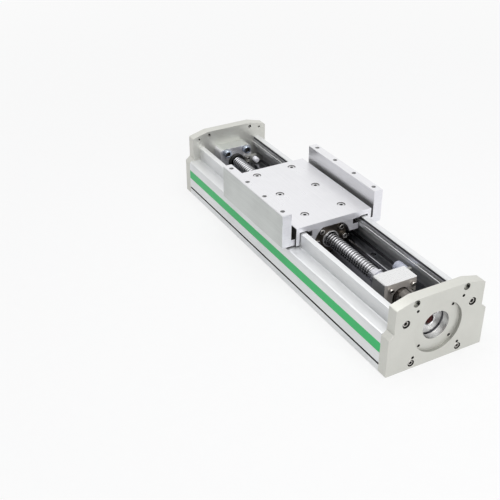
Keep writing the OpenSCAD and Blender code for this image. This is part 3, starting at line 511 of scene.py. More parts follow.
# The table's faces round the base's walls take painted shade, for the gap between them.
def over_wall(at, facing):
    low, high = OVER_WALL
    return abs(facing.x) < ASIDE and low < abs(at.y) < high and at.z < TABLE_HIGH.z - ARM_DEPTH


# The saddles' faces beside the base's walls take painted shade.
def beside_wall(at, facing):
    return abs(facing.x) < ASIDE and abs(at.y) > SADDLE_SIDE


def in_plate_hole(at, facing):
    """The walls of holes drilled along X, inside a plate's outline and clear of the bore, which are
    painted dark as shade.
    """
    edge_z = PLATE_HIGH.z - PLATE_RIM - PLATE_SLOPE * max(0.0, abs(at.y) - PLATE_FLAT)
    in_outline = 1 < at.z < edge_z and abs(at.y) < PLATE_SIDE - 1
    in_bore = abs(from_axis(at) - BORE_R) < 2 or abs(from_axis(at) - PILOT_R) < 1.2
    shaded = at.z < COVER_HOLE_LOW or facing.z < 0.75
    round_about_x = abs(facing.x) < 0.1 and on_round_wall(facing.y, 0.01)
    return in_outline and not in_bore and shaded and round_about_x


# Picks the channel's inside faces, which take painted shade.
def in_channel(at, facing):
    on_lip = abs(abs(at.y) - LIP_HALF) < 0.3 and at.z < LIP_TOP
    within = abs(at.y) < CHANNEL_HALF and CHANNEL_FLOOR < at.z < BASE_HIGH.z - MOUTH_EDGE
    return within and not on_lip


# The side slots' inside faces take painted shade.
def in_side_slot(at, facing):
    low, high = SLOT_HEIGHTS
    return BASE_HIGH.y - SLOT_DEPTH < abs(at.y) < BASE_HIGH.y - 0.1 and low < at.z < high


# Saddle ends are milled; faces beside the walls are painted shade.
SADDLE_RULES = [("milled_end", on_end), ("painted_shade_black", beside_wall)]
FACE_RULES = {
    "carriage_table": [
        ("milled_end", on_end),
        ("drawn_side_and_painted_shade", on_table_side),
        ("tapped_hole", in_arm_hole),
        # Countersinks and the faces over the walls are painted shade.
        ("painted_shade_black", in_sink),
        ("painted_shade_black", over_wall),
    ],
    "saddle_left": SADDLE_RULES,
    "saddle_right": SADDLE_RULES,
    # The rear housing's top is painted darker, as shade.
    "rear_housing": [("drawn_side_and_painted_shade", lambda at, facing: facing.z > 0.9)],
    "motor_end_plate": [
        ("turned_bore", lambda at, facing: on_cylinder(at, facing, BORE_R)),
        # The pilot recess's wall is painted darker, as shade.
        ("turned_step", lambda at, facing: on_cylinder(at, facing, PILOT_R)),
        # Hole walls in the plates are painted shade.
        ("painted_shade_black", in_plate_hole),
    ],
    "rear_end_plate": [("painted_shade_black", in_plate_hole)],
    "base_extrusion": [("channel_painted_shade", in_channel), ("painted_shade_black", in_side_slot)],
    # The cover's front face is painted lighter: painted light.
    "fixed_housing_cover": [("cover_face_painted_light", lambda at, facing: facing.x > 0.5)],
    "nut_wipers": [("black_rubber", lambda at, facing: from_axis(at) < WIPER_INNER_R)],
}
print(sum(len(rules) for rules in FACE_RULES.values()), "face rules")

# %% [markdown]
# ## Break every edge
# Plates and blocks get a facet of about half a millimetre, rails, guide blocks and the base's
# thin walls about a quarter. The bumpers and the nut are rounder. The motor's hub is also turned
# back at its face, with a small cone at the mouth of its bore.

# %% Choose the edges' widths
EDGE_WIDTHS = {
    "motor_end_plate": 0.5 * MM,
    "rear_end_plate": 0.5 * MM,
    "carriage_table": 0.5 * MM,
    "saddle_left": 0.4 * MM,
    "saddle_right": 0.4 * MM,
    "fixed_housing": 0.4 * MM,
    "fixed_housing_cover": 0.5 * MM,
    "rear_housing": 0.5 * MM,
    "base_extrusion": 0.3 * MM,
    "nut_bracket": 0.3 * MM,
    "bumper_brackets": 0.3 * MM,
    "guide_end_caps": 0.4 * MM,
    "guide_block_front_left": 0.3 * MM,
    "guide_block_front_right": 0.3 * MM,
    "guide_block_rear_left": 0.3 * MM,
    "guide_block_rear_right": 0.3 * MM,
    "rail_left": 0.25 * MM,
    "rail_right": 0.25 * MM,
    "ball_nut": 0.6 * MM,
    "nut_wipers": 0.6 * MM,
    "screw_hub": 0.5 * MM,
    "motor_hub": 0.5 * MM,
    "lock_nut": 0.3 * MM,
    "coupling_spider": 0.3 * MM,
    "front_bumper": 1.0 * MM,
    "rear_bumper": 0.6 * MM,
}
print(len(EDGE_WIDTHS), "edge widths")

# %% Turn the tool that cuts back the hub's face
HUB_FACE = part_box("motor_hub")[1][0]
HUB_R = (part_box("motor_hub")[1][1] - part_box("motor_hub")[0][1]) / 2
HUB_RELIEF = 4.5 * MM
HUB_BORE_R = 7.1 * MM
HUB_MOUTH_R = 8 * MM
HUB_CHAMFER = 1 * MM
OVERCUT = 1 * MM
HUB_FRONT = HUB_FACE - HUB_RELIEF
hub_relief = turned("hub_relief", [
    (HUB_FRONT - HUB_CHAMFER, 0), (HUB_FRONT - HUB_CHAMFER, HUB_BORE_R),
    (HUB_FRONT, HUB_MOUTH_R), (HUB_FRONT, HUB_R - HUB_CHAMFER),
    (HUB_FRONT - OVERCUT, HUB_R + OVERCUT), (HUB_FACE + OVERCUT, HUB_R + OVERCUT),
    (HUB_FACE + OVERCUT, 0),
], AXIS_Z)
CUTTERS = {"motor_hub": hub_relief}
print("hub cut back to x =", round(HUB_FRONT, 4), "m")

# %% Soften the solids
for node_name, width in EDGE_WIDTHS.items():
    edged = soften(node_name, width, FACE_RULES.get(node_name, ()), CUTTERS.get(node_name))
    print(node_name, len(edged.data.polygons), "faces")

# %% [markdown]
# ## A collar and two lines
# A thin collar nearly fills the gap between the motor's hub and the plate's bore, so that no
# deep dark ring shows there. Along each lip of the channel runs a slim bead, whose upper facet
# leans at 45 degrees and catches the overhead lamp. A thin black strip above the bead, painted
# shade, sets it off.

# %% Close the gap round the motor's hub
COLLAR_BACK = HUB_FRONT - 2.2 * MM
COLLAR_FRONT = HUB_FRONT - 0.4 * MM
COLLAR_GAP = 0.7 * MM
COLLAR_R = BORE_R * MM - COLLAR_GAP
COLLAR_BEVEL = 0.4 * MM
COLLAR_INNER_R = HUB_R - COLLAR_BEVEL
collar = turned("hub_collar", [
    (COLLAR_BACK, COLLAR_INNER_R), (COLLAR_BACK, COLLAR_R), (COLLAR_FRONT - COLLAR_BEVEL, COLLAR_R),
    (COLLAR_FRONT, COLLAR_R - COLLAR_BEVEL), (COLLAR_FRONT, COLLAR_INNER_R),
    (COLLAR_BACK, COLLAR_INNER_R),
], AXIS_Z)
weld(collar.data)
collar.data.materials.append(FINISH[SLOT_OF["motor_hub"]])
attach(collar, BODY_OF["motor_hub"])
print("collar from", round(COLLAR_BACK, 4), "to", round(COLLAR_FRONT, 4), "m")

# %% Draw the lines along the lips
NEAR_LIP = 0.1
LIP_HEIGHTS = {
    round(vertex.co.z / MM, 1)
    for vertex in frame["nodes"]["base_extrusion"].data.vertices
    if abs(abs(vertex.co.y) / MM - LIP_HALF) < NEAR_LIP
}
LIP_LOW, LIP_HIGH = sorted(LIP_HEIGHTS)[-2:]
print("corners on the lips at", sorted(LIP_HEIGHTS), "mm")
LINE_SHARE = 0.53
LINE_Z = LIP_LOW + LINE_SHARE * (LIP_HIGH - LIP_LOW)
SUNK = 0.05
BEAD_OUT = 0.6
BEAD_HALF = 0.65
BEAD_NOSE = 0.1
SHADOW_OUT = 0.04
SHADOW_TALL = 0.6


def run_along_lips(name, section, finish):
    """Draws a section of (out from the lip, height) points from end to end on both lips."""
    shape = bmesh.new()
    for side in (-1, 1):
        ends = [
            [shape.verts.new(Vector((x, side * (LIP_HALF - out), z)) * MM) for out, z in section]
            for x in (BASE_LOW.x, BASE_HIGH.x)
        ]
        shape.faces.new(ends[0])
        shape.faces.new(ends[1])
        for i in range(len(section)):
            j = (i + 1) % len(section)
            shape.faces.new((ends[0][i], ends[0][j], ends[1][j], ends[1][i]))
    bmesh.ops.recalc_face_normals(shape, faces=shape.faces)
    mesh = bpy.data.meshes.new(name)
    shape.to_mesh(mesh)
    shape.free()
    mesh.materials.append(FINISH[finish])
    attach(link(name, mesh), "base")


BEAD_TOP = LINE_Z + BEAD_HALF
run_along_lips("lip_bead", [
    (-SUNK, LINE_Z - BEAD_HALF), (BEAD_OUT, LINE_Z - BEAD_NOSE),
    (BEAD_OUT, LINE_Z), (-SUNK, BEAD_TOP),
], "bright_ring")
# A thin black strip above the bead: painted shade.
run_along_lips("lip_groove", [
    (-SUNK, BEAD_TOP), (SHADOW_OUT, BEAD_TOP),
    (SHADOW_OUT, BEAD_TOP + SHADOW_TALL), (-SUNK, BEAD_TOP + SHADOW_TALL),
], "painted_shade_black")
print("lines at", round(LINE_Z, 1), "mm, lips from", round(LIP_LOW, 1), "to", round(LIP_HIGH, 1), "mm")

# %% [markdown]
# ## The ball thread
# A ball screw's groove is a gothic arch ground into a hardened bar, with narrow polished lands
# between the turns. The surface follows a rule, so Geometry Nodes make it: a long grid is wound
# into a helix, with the distance along it as the turn and the distance across it as the place
# within one lead. The arch is a sine power of that place. Points past either end are held at
# the end's plane, and the doubles there are merged. The groove is darker than the lands: partly
# a film of grease, partly painted shade in the hollow.

# %% Helpers for geometry trees
def new_tree(name, inputs):
    tree = bpy.data.node_groups.new(name, "GeometryNodeTree")
    tree.interface.new_socket("Geometry", in_out="INPUT", socket_type="NodeSocketGeometry")
    for label, kind, value in inputs:
        socket = tree.interface.new_socket(label, in_out="INPUT", socket_type=kind)
        if value is not None:
            socket.default_value = value
    tree.interface.new_socket("Geometry", in_out="OUTPUT", socket_type="NodeSocketGeometry")
    return tree, add_node(tree, "NodeGroupInput"), add_node(tree, "NodeGroupOutput")


def use_tree(obj, tree, values):
    modifier = obj.modifiers.new(tree.name, "NODES")
    modifier.node_group = tree
    for item in tree.interface.items_tree:
        if item.item_type == "SOCKET" and item.in_out == "INPUT" and item.name in values:
            modifier[item.identifier] = values[item.name]


print("geometry helpers ready")

# %% Build the thread's tree
SPARE_TURNS = 2.0
EARLY_TURNS = 1.5
ARCH_POWER = 0.7
MERGE_WITHIN = 0.01 * MM
thread_tree, given, result = new_tree("ball_thread", [
    ("Start", "NodeSocketFloat", -0.2),
    ("Finish", "NodeSocketFloat", 0.2),
    ("Axis Height", "NodeSocketFloat", 0.05),
    ("Radius", "NodeSocketFloat", 0.01),
    ("Groove Depth", "NodeSocketFloat", 0.001),
    ("Groove Share", "NodeSocketFloat", 0.6),
    ("Lead", "NodeSocketFloat", 0.005),
    ("Turn Steps", "NodeSocketInt", 40),
    ("Across Steps", "NodeSocketInt", 9),
    ("Finish Material", "NodeSocketMaterial", None),
])


def thread_math(operation, first, second=None):
    return math_node(thread_tree, operation, first, second)


span = thread_math("SUBTRACT", given.outputs["Finish"], given.outputs["Start"])
turns = thread_math("ADD", thread_math("DIVIDE", span, given.outputs["Lead"]), SPARE_TURNS)
rows = thread_math("CEIL", thread_math("MULTIPLY", turns, given.outputs["Turn Steps"]))
grid = add_node(thread_tree, "GeometryNodeMeshGrid")
grid.inputs["Size X"].default_value = 1.0
grid.inputs["Size Y"].default_value = 1.0
thread_tree.links.new(thread_math("ADD", rows, 1.0), grid.inputs["Vertices X"])
thread_tree.links.new(given.outputs["Across Steps"], grid.inputs["Vertices Y"])
place = add_node(thread_tree, "GeometryNodeInputPosition")
split = add_node(thread_tree, "ShaderNodeSeparateXYZ")
thread_tree.links.new(place.outputs["Position"], split.inputs["Vector"])
print("grid set up with", len(thread_tree.nodes), "nodes")

# %% Wind the grid into a helix
row = thread_math("MULTIPLY", thread_math("ADD", split.outputs["X"], 0.5), rows)
along = thread_math("DIVIDE", row, given.outputs["Turn Steps"])
across = thread_math("ADD", split.outputs["Y"], 0.5)
in_groove = thread_math("MINIMUM", thread_math("DIVIDE", across, given.outputs["Groove Share"]), 1.0)
wave = thread_math("MAXIMUM", thread_math("SINE", thread_math("MULTIPLY", in_groove, math.pi)), 0.0)
arch = thread_math("POWER", wave, ARCH_POWER)
depth = thread_math("MULTIPLY", arch, given.outputs["Groove Depth"])
radius = thread_math("SUBTRACT", given.outputs["Radius"], depth)
turn = thread_math("SUBTRACT", thread_math("ADD", along, across), EARLY_TURNS)
from_start = thread_math("MULTIPLY", turn, given.outputs["Lead"])
reach = thread_math("ADD", from_start, given.outputs["Start"])
held = thread_math("MAXIMUM", reach, given.outputs["Start"])
held = thread_math("MINIMUM", held, given.outputs["Finish"])
angle = thread_math("MULTIPLY", along, 2 * math.pi)
sideways = thread_math("MULTIPLY", radius, thread_math("COSINE", angle))
upwards = thread_math("MULTIPLY", radius, thread_math("SINE", angle))
wound = add_node(thread_tree, "ShaderNodeCombineXYZ")
thread_tree.links.new(held, wound.inputs["X"])
thread_tree.links.new(sideways, wound.inputs["Y"])
thread_tree.links.new(thread_math("ADD", given.outputs["Axis Height"], upwards), wound.inputs["Z"])
wind = add_node(thread_tree, "GeometryNodeSetPosition")
thread_tree.links.new(grid.outputs["Mesh"], wind.inputs["Geometry"])
thread_tree.links.new(wound.outputs["Vector"], wind.inputs["Position"])
merge = add_node(thread_tree, "GeometryNodeMergeByDistance")
merge.inputs["Distance"].default_value = MERGE_WITHIN
thread_tree.links.new(wind.outputs["Geometry"], merge.inputs["Geometry"])
whole = add_node(thread_tree, "GeometryNodeRealizeInstances")
thread_tree.links.new(merge.outputs["Geometry"], whole.inputs["Geometry"])
coat = add_node(thread_tree, "GeometryNodeSetMaterial")
thread_tree.links.new(whole.outputs["Geometry"], coat.inputs["Geometry"])
thread_tree.links.new(given.outputs["Finish Material"], coat.inputs["Material"])
thread_tree.links.new(coat.outputs["Geometry"], result.inputs["Geometry"])
print("thread tree has", len(thread_tree.nodes), "nodes")

# %% Darken the groove
# The groove's colour as a share of the lands': partly grease, partly painted shade.
GROOVE_GREASE_AND_SHADE = 0.30


def groove_finish(name, axis_height, land_r, dark_below):
    """Polished lands and a groove darkened by grease and painted shade, told apart by the distance
    from the axis.
    """
    material = metal(name, *POLISHED)
    tree = material.node_tree
    shader = tree.nodes["Principled BSDF"]
    coords = add_node(tree, "ShaderNodeTexCoord")
    part = add_node(tree, "ShaderNodeSeparateXYZ")
    tree.links.new(coords.outputs["Object"], part.inputs["Vector"])
    up = math_node(tree, "SUBTRACT", part.outputs["Z"], axis_height)
    away = math_node(tree, "SQRT", math_node(
        tree, "ADD", math_node(tree, "MULTIPLY", part.outputs["Y"], part.outputs["Y"]),
        math_node(tree, "MULTIPLY", up, up)))
    on_land = remap(tree, away, 0.0, 1.0, land_r - dark_below, land_r)
    tint = add_node(tree, "ShaderNodeMix", data_type="RGBA")
    tree.links.new(on_land, tint.inputs["Factor"])
    tint.inputs["A"].default_value = (*shade(POLISHED[0], GROOVE_GREASE_AND_SHADE), 1)
    tree.links.new(shader.inputs["Base Color"].links[0].from_socket, tint.inputs["B"])
    tree.links.new(tint.outputs["Result"], shader.inputs["Base Color"])
    return material


print("groove finish ready")

# %% Turn the shaft and wind the thread on it
def at_x(node_name, end):
    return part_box(node_name)[end][0]


screw_low, screw_high = (Vector(corner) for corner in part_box("ball_screw"))
SCREW_R = (screw_high.z - screw_low.z) / 2
GROOVE = 1.1 * MM
GROOVE_SHARE = 0.66
TURN_STEPS = 40
ACROSS_STEPS = 12
GREASE_AND_SHADE_BELOW = 0.5 * MM
LEAD = 5 * MM
JOURNAL_R = 7.5 * MM
DRIVE_R = 6 * MM
REAR_R = 6 * MM
END_CHAMFER = 0.8 * MM
collar_x = at_x("screw_collar", 0)
thread_front = collar_x - 8 * MM
thread_rear = at_x("rear_housing", 1) - 2 * MM
step_x = thread_front - 0.1 * MM
lock_face = at_x("lock_nut", 1)
core_r = SCREW_R - GROOVE - 0.15 * MM
shaft = turned("screw_shaft", [
    (screw_low.x, 0), (screw_low.x, REAR_R - END_CHAMFER), (screw_low.x + END_CHAMFER, REAR_R),
    (thread_rear, REAR_R), (thread_rear, core_r), (step_x, core_r),
    (step_x, SCREW_R - 0.4 * MM), (step_x + 0.4 * MM, SCREW_R),
    (collar_x, SCREW_R), (collar_x, JOURNAL_R), (lock_face, JOURNAL_R), (lock_face, DRIVE_R),
    (screw_high.x - END_CHAMFER, DRIVE_R), (screw_high.x, DRIVE_R - END_CHAMFER), (screw_high.x, 0),
], AXIS_Z)
shaft.data.materials.append(FINISH["bearing_steel"])
FINISH["thread_grease_and_shade"] = groove_finish("thread_grease_and_shade", AXIS_Z, SCREW_R, GREASE_AND_SHADE_BELOW)
thread = link("screw_thread", bpy.data.meshes.new("screw_thread"))
use_tree(thread, thread_tree, {
    "Start": thread_rear, "Finish": thread_front, "Axis Height": AXIS_Z, "Radius": SCREW_R,
    "Groove Depth": GROOVE, "Groove Share": GROOVE_SHARE, "Lead": LEAD, "Turn Steps": TURN_STEPS,
    "Across Steps": ACROSS_STEPS, "Finish Material": FINISH["thread_grease_and_shade"],
})
plain_mesh(thread)
thread.data.shade_smooth()
thread.data.set_sharp_from_angle(angle=math.radians(60))
for piece in (shaft, thread):
    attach(piece, "screw")
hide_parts("ball_screw")
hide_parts("ball_screw")
print("thread has", len(thread.data.polygons), "faces")

# %% [markdown]
# ## The socket screws
# The module is held by dozens of socket screws in a few sizes. Their heads are knurled, with a
# chamfered rim and a hexagon socket. Three heads are modelled: one that stands on a surface, one
# that sits in a counterbore on a dark ring, and a countersunk one. The dark ring, the sockets and
# the countersunk cone are painted shade. Geometry Nodes put a copy on each screw of the frame: its
# place, direction and size are measured from the solid's own points, so a screw is never typed in by
# hand.

# %% Model the heads
def ring_stack(name, levels, steps, dark_levels):
    """Joins rings of points into a closed solid. Faces that start at a dark level are marked dark, for
    painted shade.
    """
    shape = bmesh.new()
    dark = shape.faces.layers.bool.new("dark")
    rings = [
        [shape.verts.new((r[i] * math.cos(2 * math.pi * i / steps),
                          r[i] * math.sin(2 * math.pi * i / steps), z)) for i in range(steps)]
        for z, r in levels
    ]
    for level, (low, high) in enumerate(zip(rings, rings[1:])):
        for i in range(steps):
            j = (i + 1) % steps
            face = shape.faces.new((low[i], low[j], high[j], high[i]))
            face[dark] = level in dark_levels
    bmesh.ops.remove_doubles(shape, verts=shape.verts, dist=0.001)
    bmesh.ops.recalc_face_normals(shape, faces=shape.faces)
    mesh = bpy.data.meshes.new(name)
    shape.to_mesh(mesh)
    shape.free()
    mesh.shade_smooth()
    mesh.set_sharp_from_angle(angle=math.radians(25))
    return link(name, mesh)


def hexagon_radii(steps, flat_r):
    """How far a hexagon's edge is from its middle, for evenly spaced directions."""
    sectors = [
        (2 * math.pi * i / steps + math.pi / 6) % (math.pi / 3) - math.pi / 6
        for i in range(steps)
    ]
    return [flat_r / math.cos(sector) for sector in sectors]


def level_ring(radius, steps):
    return [radius] * steps


AT_AXIS = 0.0001
SHANK_END = -1.6
KNURL_DEPTH = 0.03


def socket_head(name, shade_ring_r, flutes=30):
    """A head of height 1, seated at z = 0, with a stub of shank below.

    It sits on a dark ring of about radius 1, painted shade for the gap round the head; the second
    argument says how many times as wide as the head the ring is. The dark socket is painted shade
    too. The rings give heights and radii from the shank's end, over the rim, to the socket's bottom.
    """
    steps = flutes * 2
    body = 1.0 / shade_ring_r
    wave = [body * (1.0 - KNURL_DEPTH * (i % 2)) for i in range(steps)]
    hexagon = hexagon_radii(steps, 0.54 * body)
    rings = [
        (SHANK_END, level_ring(AT_AXIS, steps)), (SHANK_END, level_ring(0.52 * body, steps)),
        (0.0, level_ring(0.52 * body, steps)), (0.0, level_ring(0.99, steps)),
        (0.08, level_ring(0.99, steps)), (0.08, level_ring(0.94 * body, steps)),
        (0.12, wave), (0.84, wave),
        (0.93, level_ring(0.95 * body, steps)), (1.0, level_ring(0.86 * body, steps)),
        (1.0, [r * 1.07 for r in hexagon]), (0.95, hexagon), (0.42, hexagon),
        (0.34, level_ring(AT_AXIS, steps)),
    ]
    # The ring under the head and the socket take painted shade.
    shade_ring_and_socket = (2, 3, 4, 5, 11, 12)
    return ring_stack(name, rings, steps, shade_ring_and_socket)


def sunk_head(name, steps=48):
    """A countersunk head whose rim has radius 1 and lies at z = 0."""
    hexagon = hexagon_radii(steps, 0.40)
    rings = [
        (SHANK_END, level_ring(AT_AXIS, steps)), (SHANK_END, level_ring(0.50, steps)),
        (-0.62, level_ring(0.50, steps)), (-0.14, level_ring(0.93, steps)),
        (-0.08, level_ring(0.90, steps)), (-0.06, level_ring(0.84, steps)),
        (-0.06, [r * 1.06 for r in hexagon]), (-0.10, hexagon), (-0.50, hexagon),
        (-0.56, level_ring(AT_AXIS, steps)),
    ]
    # The cone and the socket take painted shade.
    cone_and_socket = (2, 7, 8)
    return ring_stack(name, rings, steps, cone_and_socket)


HEADS = {
    "proud": socket_head("proud_head", 1.0),
    "in_bore": socket_head("head_in_bore", 1.16),
    "sunk": sunk_head("sunk_head"),
}
print("faces a head:", {name: len(head.data.polygons) for name, head in HEADS.items()})

# %% Find each screw's seat
NEAR_RIM = 0.9


def loose_parts(mesh):
    """The connected groups of points of a mesh, as lists of positions.

    They come in the mesh's own order, so each run sets the same screw first.
    """
    shape = bmesh.new()
    shape.from_mesh(mesh)
    bmesh.ops.remove_doubles(shape, verts=shape.verts, dist=SAME_PLACE)
    seen = set()
    for start in shape.verts:
        if start in seen:
            continue
        seen.add(start)
        stack = [start]
        part = []
        while stack:
            vert = stack.pop()
            part.append(vert.co.copy())
            for edge in vert.link_edges:
                other = edge.other_vert(vert)
                if other not in seen:
                    seen.add(other)
                    stack.append(other)
        yield part
    shape.free()


def screw_seat(points):
    """The seat's centre, the direction the head faces, the head's radius and its height."""
    low = Vector(min(p[i] for p in points) for i in range(3))
    high = Vector(max(p[i] for p in points) for i in range(3))
    size = high - low
    axis = max(range(3), key=lambda i: size[i])
    centre = (low + high) / 2
    along = Vector([i == axis for i in range(3)])
    radius = max(size[i] for i in range(3) if i != axis) / 2
    wide = [
        p[axis] for p in points
        if (p - centre - (p[axis] - centre[axis]) * along).length > NEAR_RIM * radius
    ]
    facing = 1 if max(wide) > centre[axis] else -1
    seat = centre.copy()
    seat[axis] = min(wide) if facing > 0 else max(wide)
    direction = Vector([facing * (i == axis) for i in range(3)])
    return seat, direction, radius, max(wide) - min(wide)


SCREW_HEADS = {
    "motor_plate_screws": "in_bore",
    "rear_plate_screws": "in_bore",
    "rail_screws": "in_bore",
    "guide_block_screws": "in_bore",
    "table_screws": "sunk",
    "housing_cover_screws": "proud",
    "housing_screws": "proud",
    "rear_housing_screws": "proud",
    "bumper_bracket_screws": "proud",
    "hub_clamp_screws": "proud",
    "nut_bracket_screws": "proud",
    "nut_screws": "proud",
}
SEATS = {
    node: [screw_seat(part) for part in loose_parts(frame["nodes"][node].data)]
    for node in SCREW_HEADS
}
print({node: len(seats) for node, seats in SEATS.items()})

# %% Build the tree that sets heads on seats
seat_tree, given, result = new_tree("socket_screws", [
    ("Head", "NodeSocketObject", None),
    ("Finish Material", "NodeSocketMaterial", None),
    ("Shadow Material", "NodeSocketMaterial", None),
])
named = {}
for label, kind in (("facing", "FLOAT_VECTOR"), ("size", "FLOAT_VECTOR"), ("dark", "BOOLEAN")):
    named[label] = add_node(seat_tree, "GeometryNodeInputNamedAttribute", data_type=kind)
    named[label].inputs["Name"].default_value = label
aim = add_node(seat_tree, "FunctionNodeAlignRotationToVector", axis="Z")
seat_tree.links.new(named["facing"].outputs["Attribute"], aim.inputs["Vector"])
head_info = add_node(seat_tree, "GeometryNodeObjectInfo")
seat_tree.links.new(given.outputs["Head"], head_info.inputs["Object"])
scatter = add_node(seat_tree, "GeometryNodeInstanceOnPoints")
seat_tree.links.new(given.outputs["Geometry"], scatter.inputs["Points"])
seat_tree.links.new(head_info.outputs["Geometry"], scatter.inputs["Instance"])
seat_tree.links.new(aim.outputs["Rotation"], scatter.inputs["Rotation"])
seat_tree.links.new(named["size"].outputs["Attribute"], scatter.inputs["Scale"])
whole = add_node(seat_tree, "GeometryNodeRealizeInstances")
seat_tree.links.new(scatter.outputs["Instances"], whole.inputs["Geometry"])
coat = add_node(seat_tree, "GeometryNodeSetMaterial")
seat_tree.links.new(whole.outputs["Geometry"], coat.inputs["Geometry"])
seat_tree.links.new(given.outputs["Finish Material"], coat.inputs["Material"])
blacken = add_node(seat_tree, "GeometryNodeSetMaterial")
seat_tree.links.new(coat.outputs["Geometry"], blacken.inputs["Geometry"])
seat_tree.links.new(named["dark"].outputs["Attribute"], blacken.inputs["Selection"])
seat_tree.links.new(given.outputs["Shadow Material"], blacken.inputs["Material"])
seat_tree.links.new(blacken.outputs["Geometry"], result.inputs["Geometry"])
print("seat tree has", len(seat_tree.nodes), "nodes")

# %% Set the screws
def set_screws(node_name, seats, head, finish):
    mesh = bpy.data.meshes.new(node_name + "_heads")
    mesh.from_pydata([seat for seat, *_ in seats], [], [])
    facing = mesh.attributes.new("facing", "FLOAT_VECTOR", "POINT")
    size = mesh.attributes.new("size", "FLOAT_VECTOR", "POINT")
    for index, (_, direction, radius, height) in enumerate(seats):
        facing.data[index].vector = direction
        size.data[index].vector = (radius, radius, height or radius)  # a cone's rim has no height
    piece = link(node_name + "_heads", mesh)
    use_tree(piece, seat_tree, {
        "Head": head, "Finish Material": finish, "Shadow Material": FINISH["painted_shade_black"]})
    plain_mesh(piece)
    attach(piece, BODY_OF[node_name])
    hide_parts(node_name)


for node_name, seats in SEATS.items():
    finish = FINISH["table_screw_steel" if node_name == "table_screws" else SLOT_OF[node_name]]
    set_screws(node_name, seats, HEADS[SCREW_HEADS[node_name]], finish)
for head in HEADS.values():
    bpy.data.objects.remove(head)
print("screws set:", sum(len(seats) for seats in SEATS.values()))

# %% [markdown]
# ## Floor and light
# The object stands on pale paper under two large soft lamps. Metal shows its surroundings, so
# what counts is how bright each side of the room is: lamps above and at the motor's end, a white
# room elsewhere, and a dark felt flag along the -Y side, which gives that long side its grey.
# Near the object the paper keeps the shadow, and farther out it turns white.

# %% Tell the rays that show a surface from those that light others
def seen_directly(tree, share, depth_limit):
    """Gives share for camera rays and for their first few reflections or refractions, else 0.

    A background counts each ray one step deeper than a surface does, so it has its own limit.
    """
    ray = add_node(tree, "ShaderNodeLightPath")
    shows = math_node(tree, "MAXIMUM", ray.outputs["Is Camera Ray"], ray.outputs["Is Glossy Ray"])
    shows = math_node(tree, "MAXIMUM", shows, ray.outputs["Is Transmission Ray"])
    first = math_node(tree, "LESS_THAN", ray.outputs["Ray Depth"], depth_limit)
    return math_node(tree, "MULTIPLY", math_node(tree, "MULTIPLY", shows, first), share)


print("light path switch ready")

# %% Lay the floor
FLOOR_HALF = 4.0
FLOOR_Z = CAD_BOX[0][2]
FLOOR_DEPTH = 1.5
PAPER_SHARE = 0.78
SHADED_WITHIN = 0.5
WHITE_BEYOND = 2.0
floor_mesh = bpy.data.meshes.new("floor")
floor_mesh.from_pydata(
    [(x * FLOOR_HALF, y * FLOOR_HALF, FLOOR_Z) for x, y in ((-1, -1), (1, -1), (1, 1), (-1, 1))],
    [], [(0, 1, 2, 3)])
floor = link("floor", floor_mesh)
floor_finish, floor_nodes, floor_shader = new_finish("floor_paper")
paper = noise(floor_nodes, object_space(floor_nodes), scale=60.0, detail=3.0)
paper_tint = blend_colours(
    floor_nodes, remap(floor_nodes, paper, 0.0, 1.0), (0.86, 0.86, 0.865), (0.885, 0.885, 0.885))
floor_nodes.links.new(paper_tint, floor_shader.inputs["Base Color"])
floor_shader.inputs["Roughness"].default_value = 0.75
floor_shader.inputs["Specular IOR Level"].default_value = 0.3
lit_paper = add_node(floor_nodes, "ShaderNodeEmission")
lit_paper.inputs["Color"].default_value = (0.985, 0.985, 0.985, 1)
lit_paper.inputs["Strength"].default_value = 1.0
lift = add_node(floor_nodes, "ShaderNodeMixShader")
from_middle = add_node(floor_nodes, "ShaderNodeVectorMath", operation="LENGTH")
floor_nodes.links.new(object_space(floor_nodes), from_middle.inputs[0])
share = remap(
    floor_nodes, from_middle.outputs["Value"], PAPER_SHARE, 1.0, SHADED_WITHIN, WHITE_BEYOND)
floor_nodes.links.new(seen_directly(floor_nodes, share, FLOOR_DEPTH), lift.inputs["Fac"])
floor_nodes.links.new(floor_shader.outputs["BSDF"], lift.inputs[1])
floor_nodes.links.new(lit_paper.outputs["Emission"], lift.inputs[2])
floor_nodes.links.new(lift.outputs["Shader"], floor_nodes.nodes["Material Output"].inputs["Surface"])
floor_mesh.materials.append(floor_finish)
print("floor at", round(FLOOR_Z, 5))

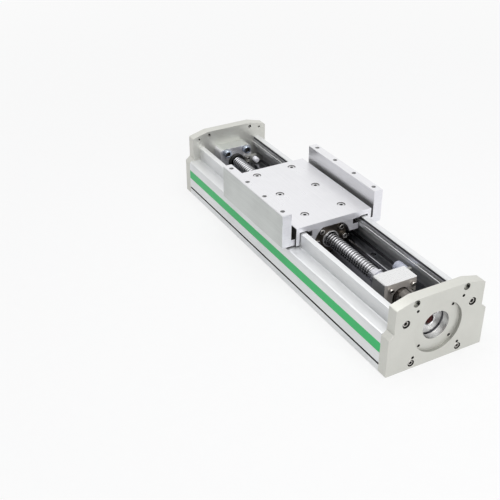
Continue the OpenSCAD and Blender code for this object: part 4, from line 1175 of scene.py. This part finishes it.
# %% Hang the lamps
def softbox(name, at, aim_at, size, power):
    data = bpy.data.lights.new(name, "AREA")
    data.shape = "RECTANGLE"
    data.size, data.size_y = size
    data.energy = power
    lamp = bpy.data.objects.new(name, data)
    lamp.location = at
    lamp.rotation_euler = (Vector(aim_at) - Vector(at)).to_track_quat("-Z", "Y").to_euler()
    bpy.context.scene.collection.objects.link(lamp)


softbox("overhead", at=(0.1, -0.1, 1.8), aim_at=(0, 0, 0), size=(1.8, 1.8), power=24.0)
softbox("front", at=(2.2, -0.1, 0.9), aim_at=(0.1, 0, 0.05), size=(1.6, 1.2), power=17.0)
print("two lamps hung")

# %% Set up the flag
FLAG_Y = -1.3
FLAG_HALF = 1.6
FLAG_LOW = 0.02
FLAG_HIGH = 1.1
flag_mesh = bpy.data.meshes.new("flag")
flag_mesh.from_pydata(
    [(-FLAG_HALF, FLAG_Y, FLAG_LOW), (FLAG_HALF, FLAG_Y, FLAG_LOW),
     (FLAG_HALF, FLAG_Y, FLAG_HIGH), (-FLAG_HALF, FLAG_Y, FLAG_HIGH)],
    [], [(3, 2, 1, 0)])
flag = link("flag", flag_mesh)
flag_mesh.materials.append(plastic("flag_felt", (0.10, 0.10, 0.10), 0.8, 900.0, 0.3))
flag.visible_camera = False
print("flag at y =", FLAG_Y)

# %% Light the room
WORLD_DEPTH = 3.5
world = bpy.data.worlds.new("studio")
world.use_nodes = True
sky = world.node_tree
backdrop = sky.nodes["Background"]
backdrop.inputs["Color"].default_value = (1.0, 1.0, 1.0, 1.0)
backdrop.inputs["Strength"].default_value = 1.0
ambient = add_node(sky, "ShaderNodeBackground")
ambient.inputs["Color"].default_value = (0.97, 0.98, 1.0, 1.0)
ambient.inputs["Strength"].default_value = 0.40
choose = add_node(sky, "ShaderNodeMixShader")
sky.links.new(seen_directly(sky, 1.0, WORLD_DEPTH), choose.inputs["Fac"])
sky.links.new(ambient.outputs["Background"], choose.inputs[1])
sky.links.new(backdrop.outputs["Background"], choose.inputs[2])
sky.links.new(choose.outputs["Shader"], sky.nodes["World Output"].inputs["Surface"])
bpy.context.scene.world = world
bpy.context.scene.view_settings.view_transform = "Standard"
print("room lit")
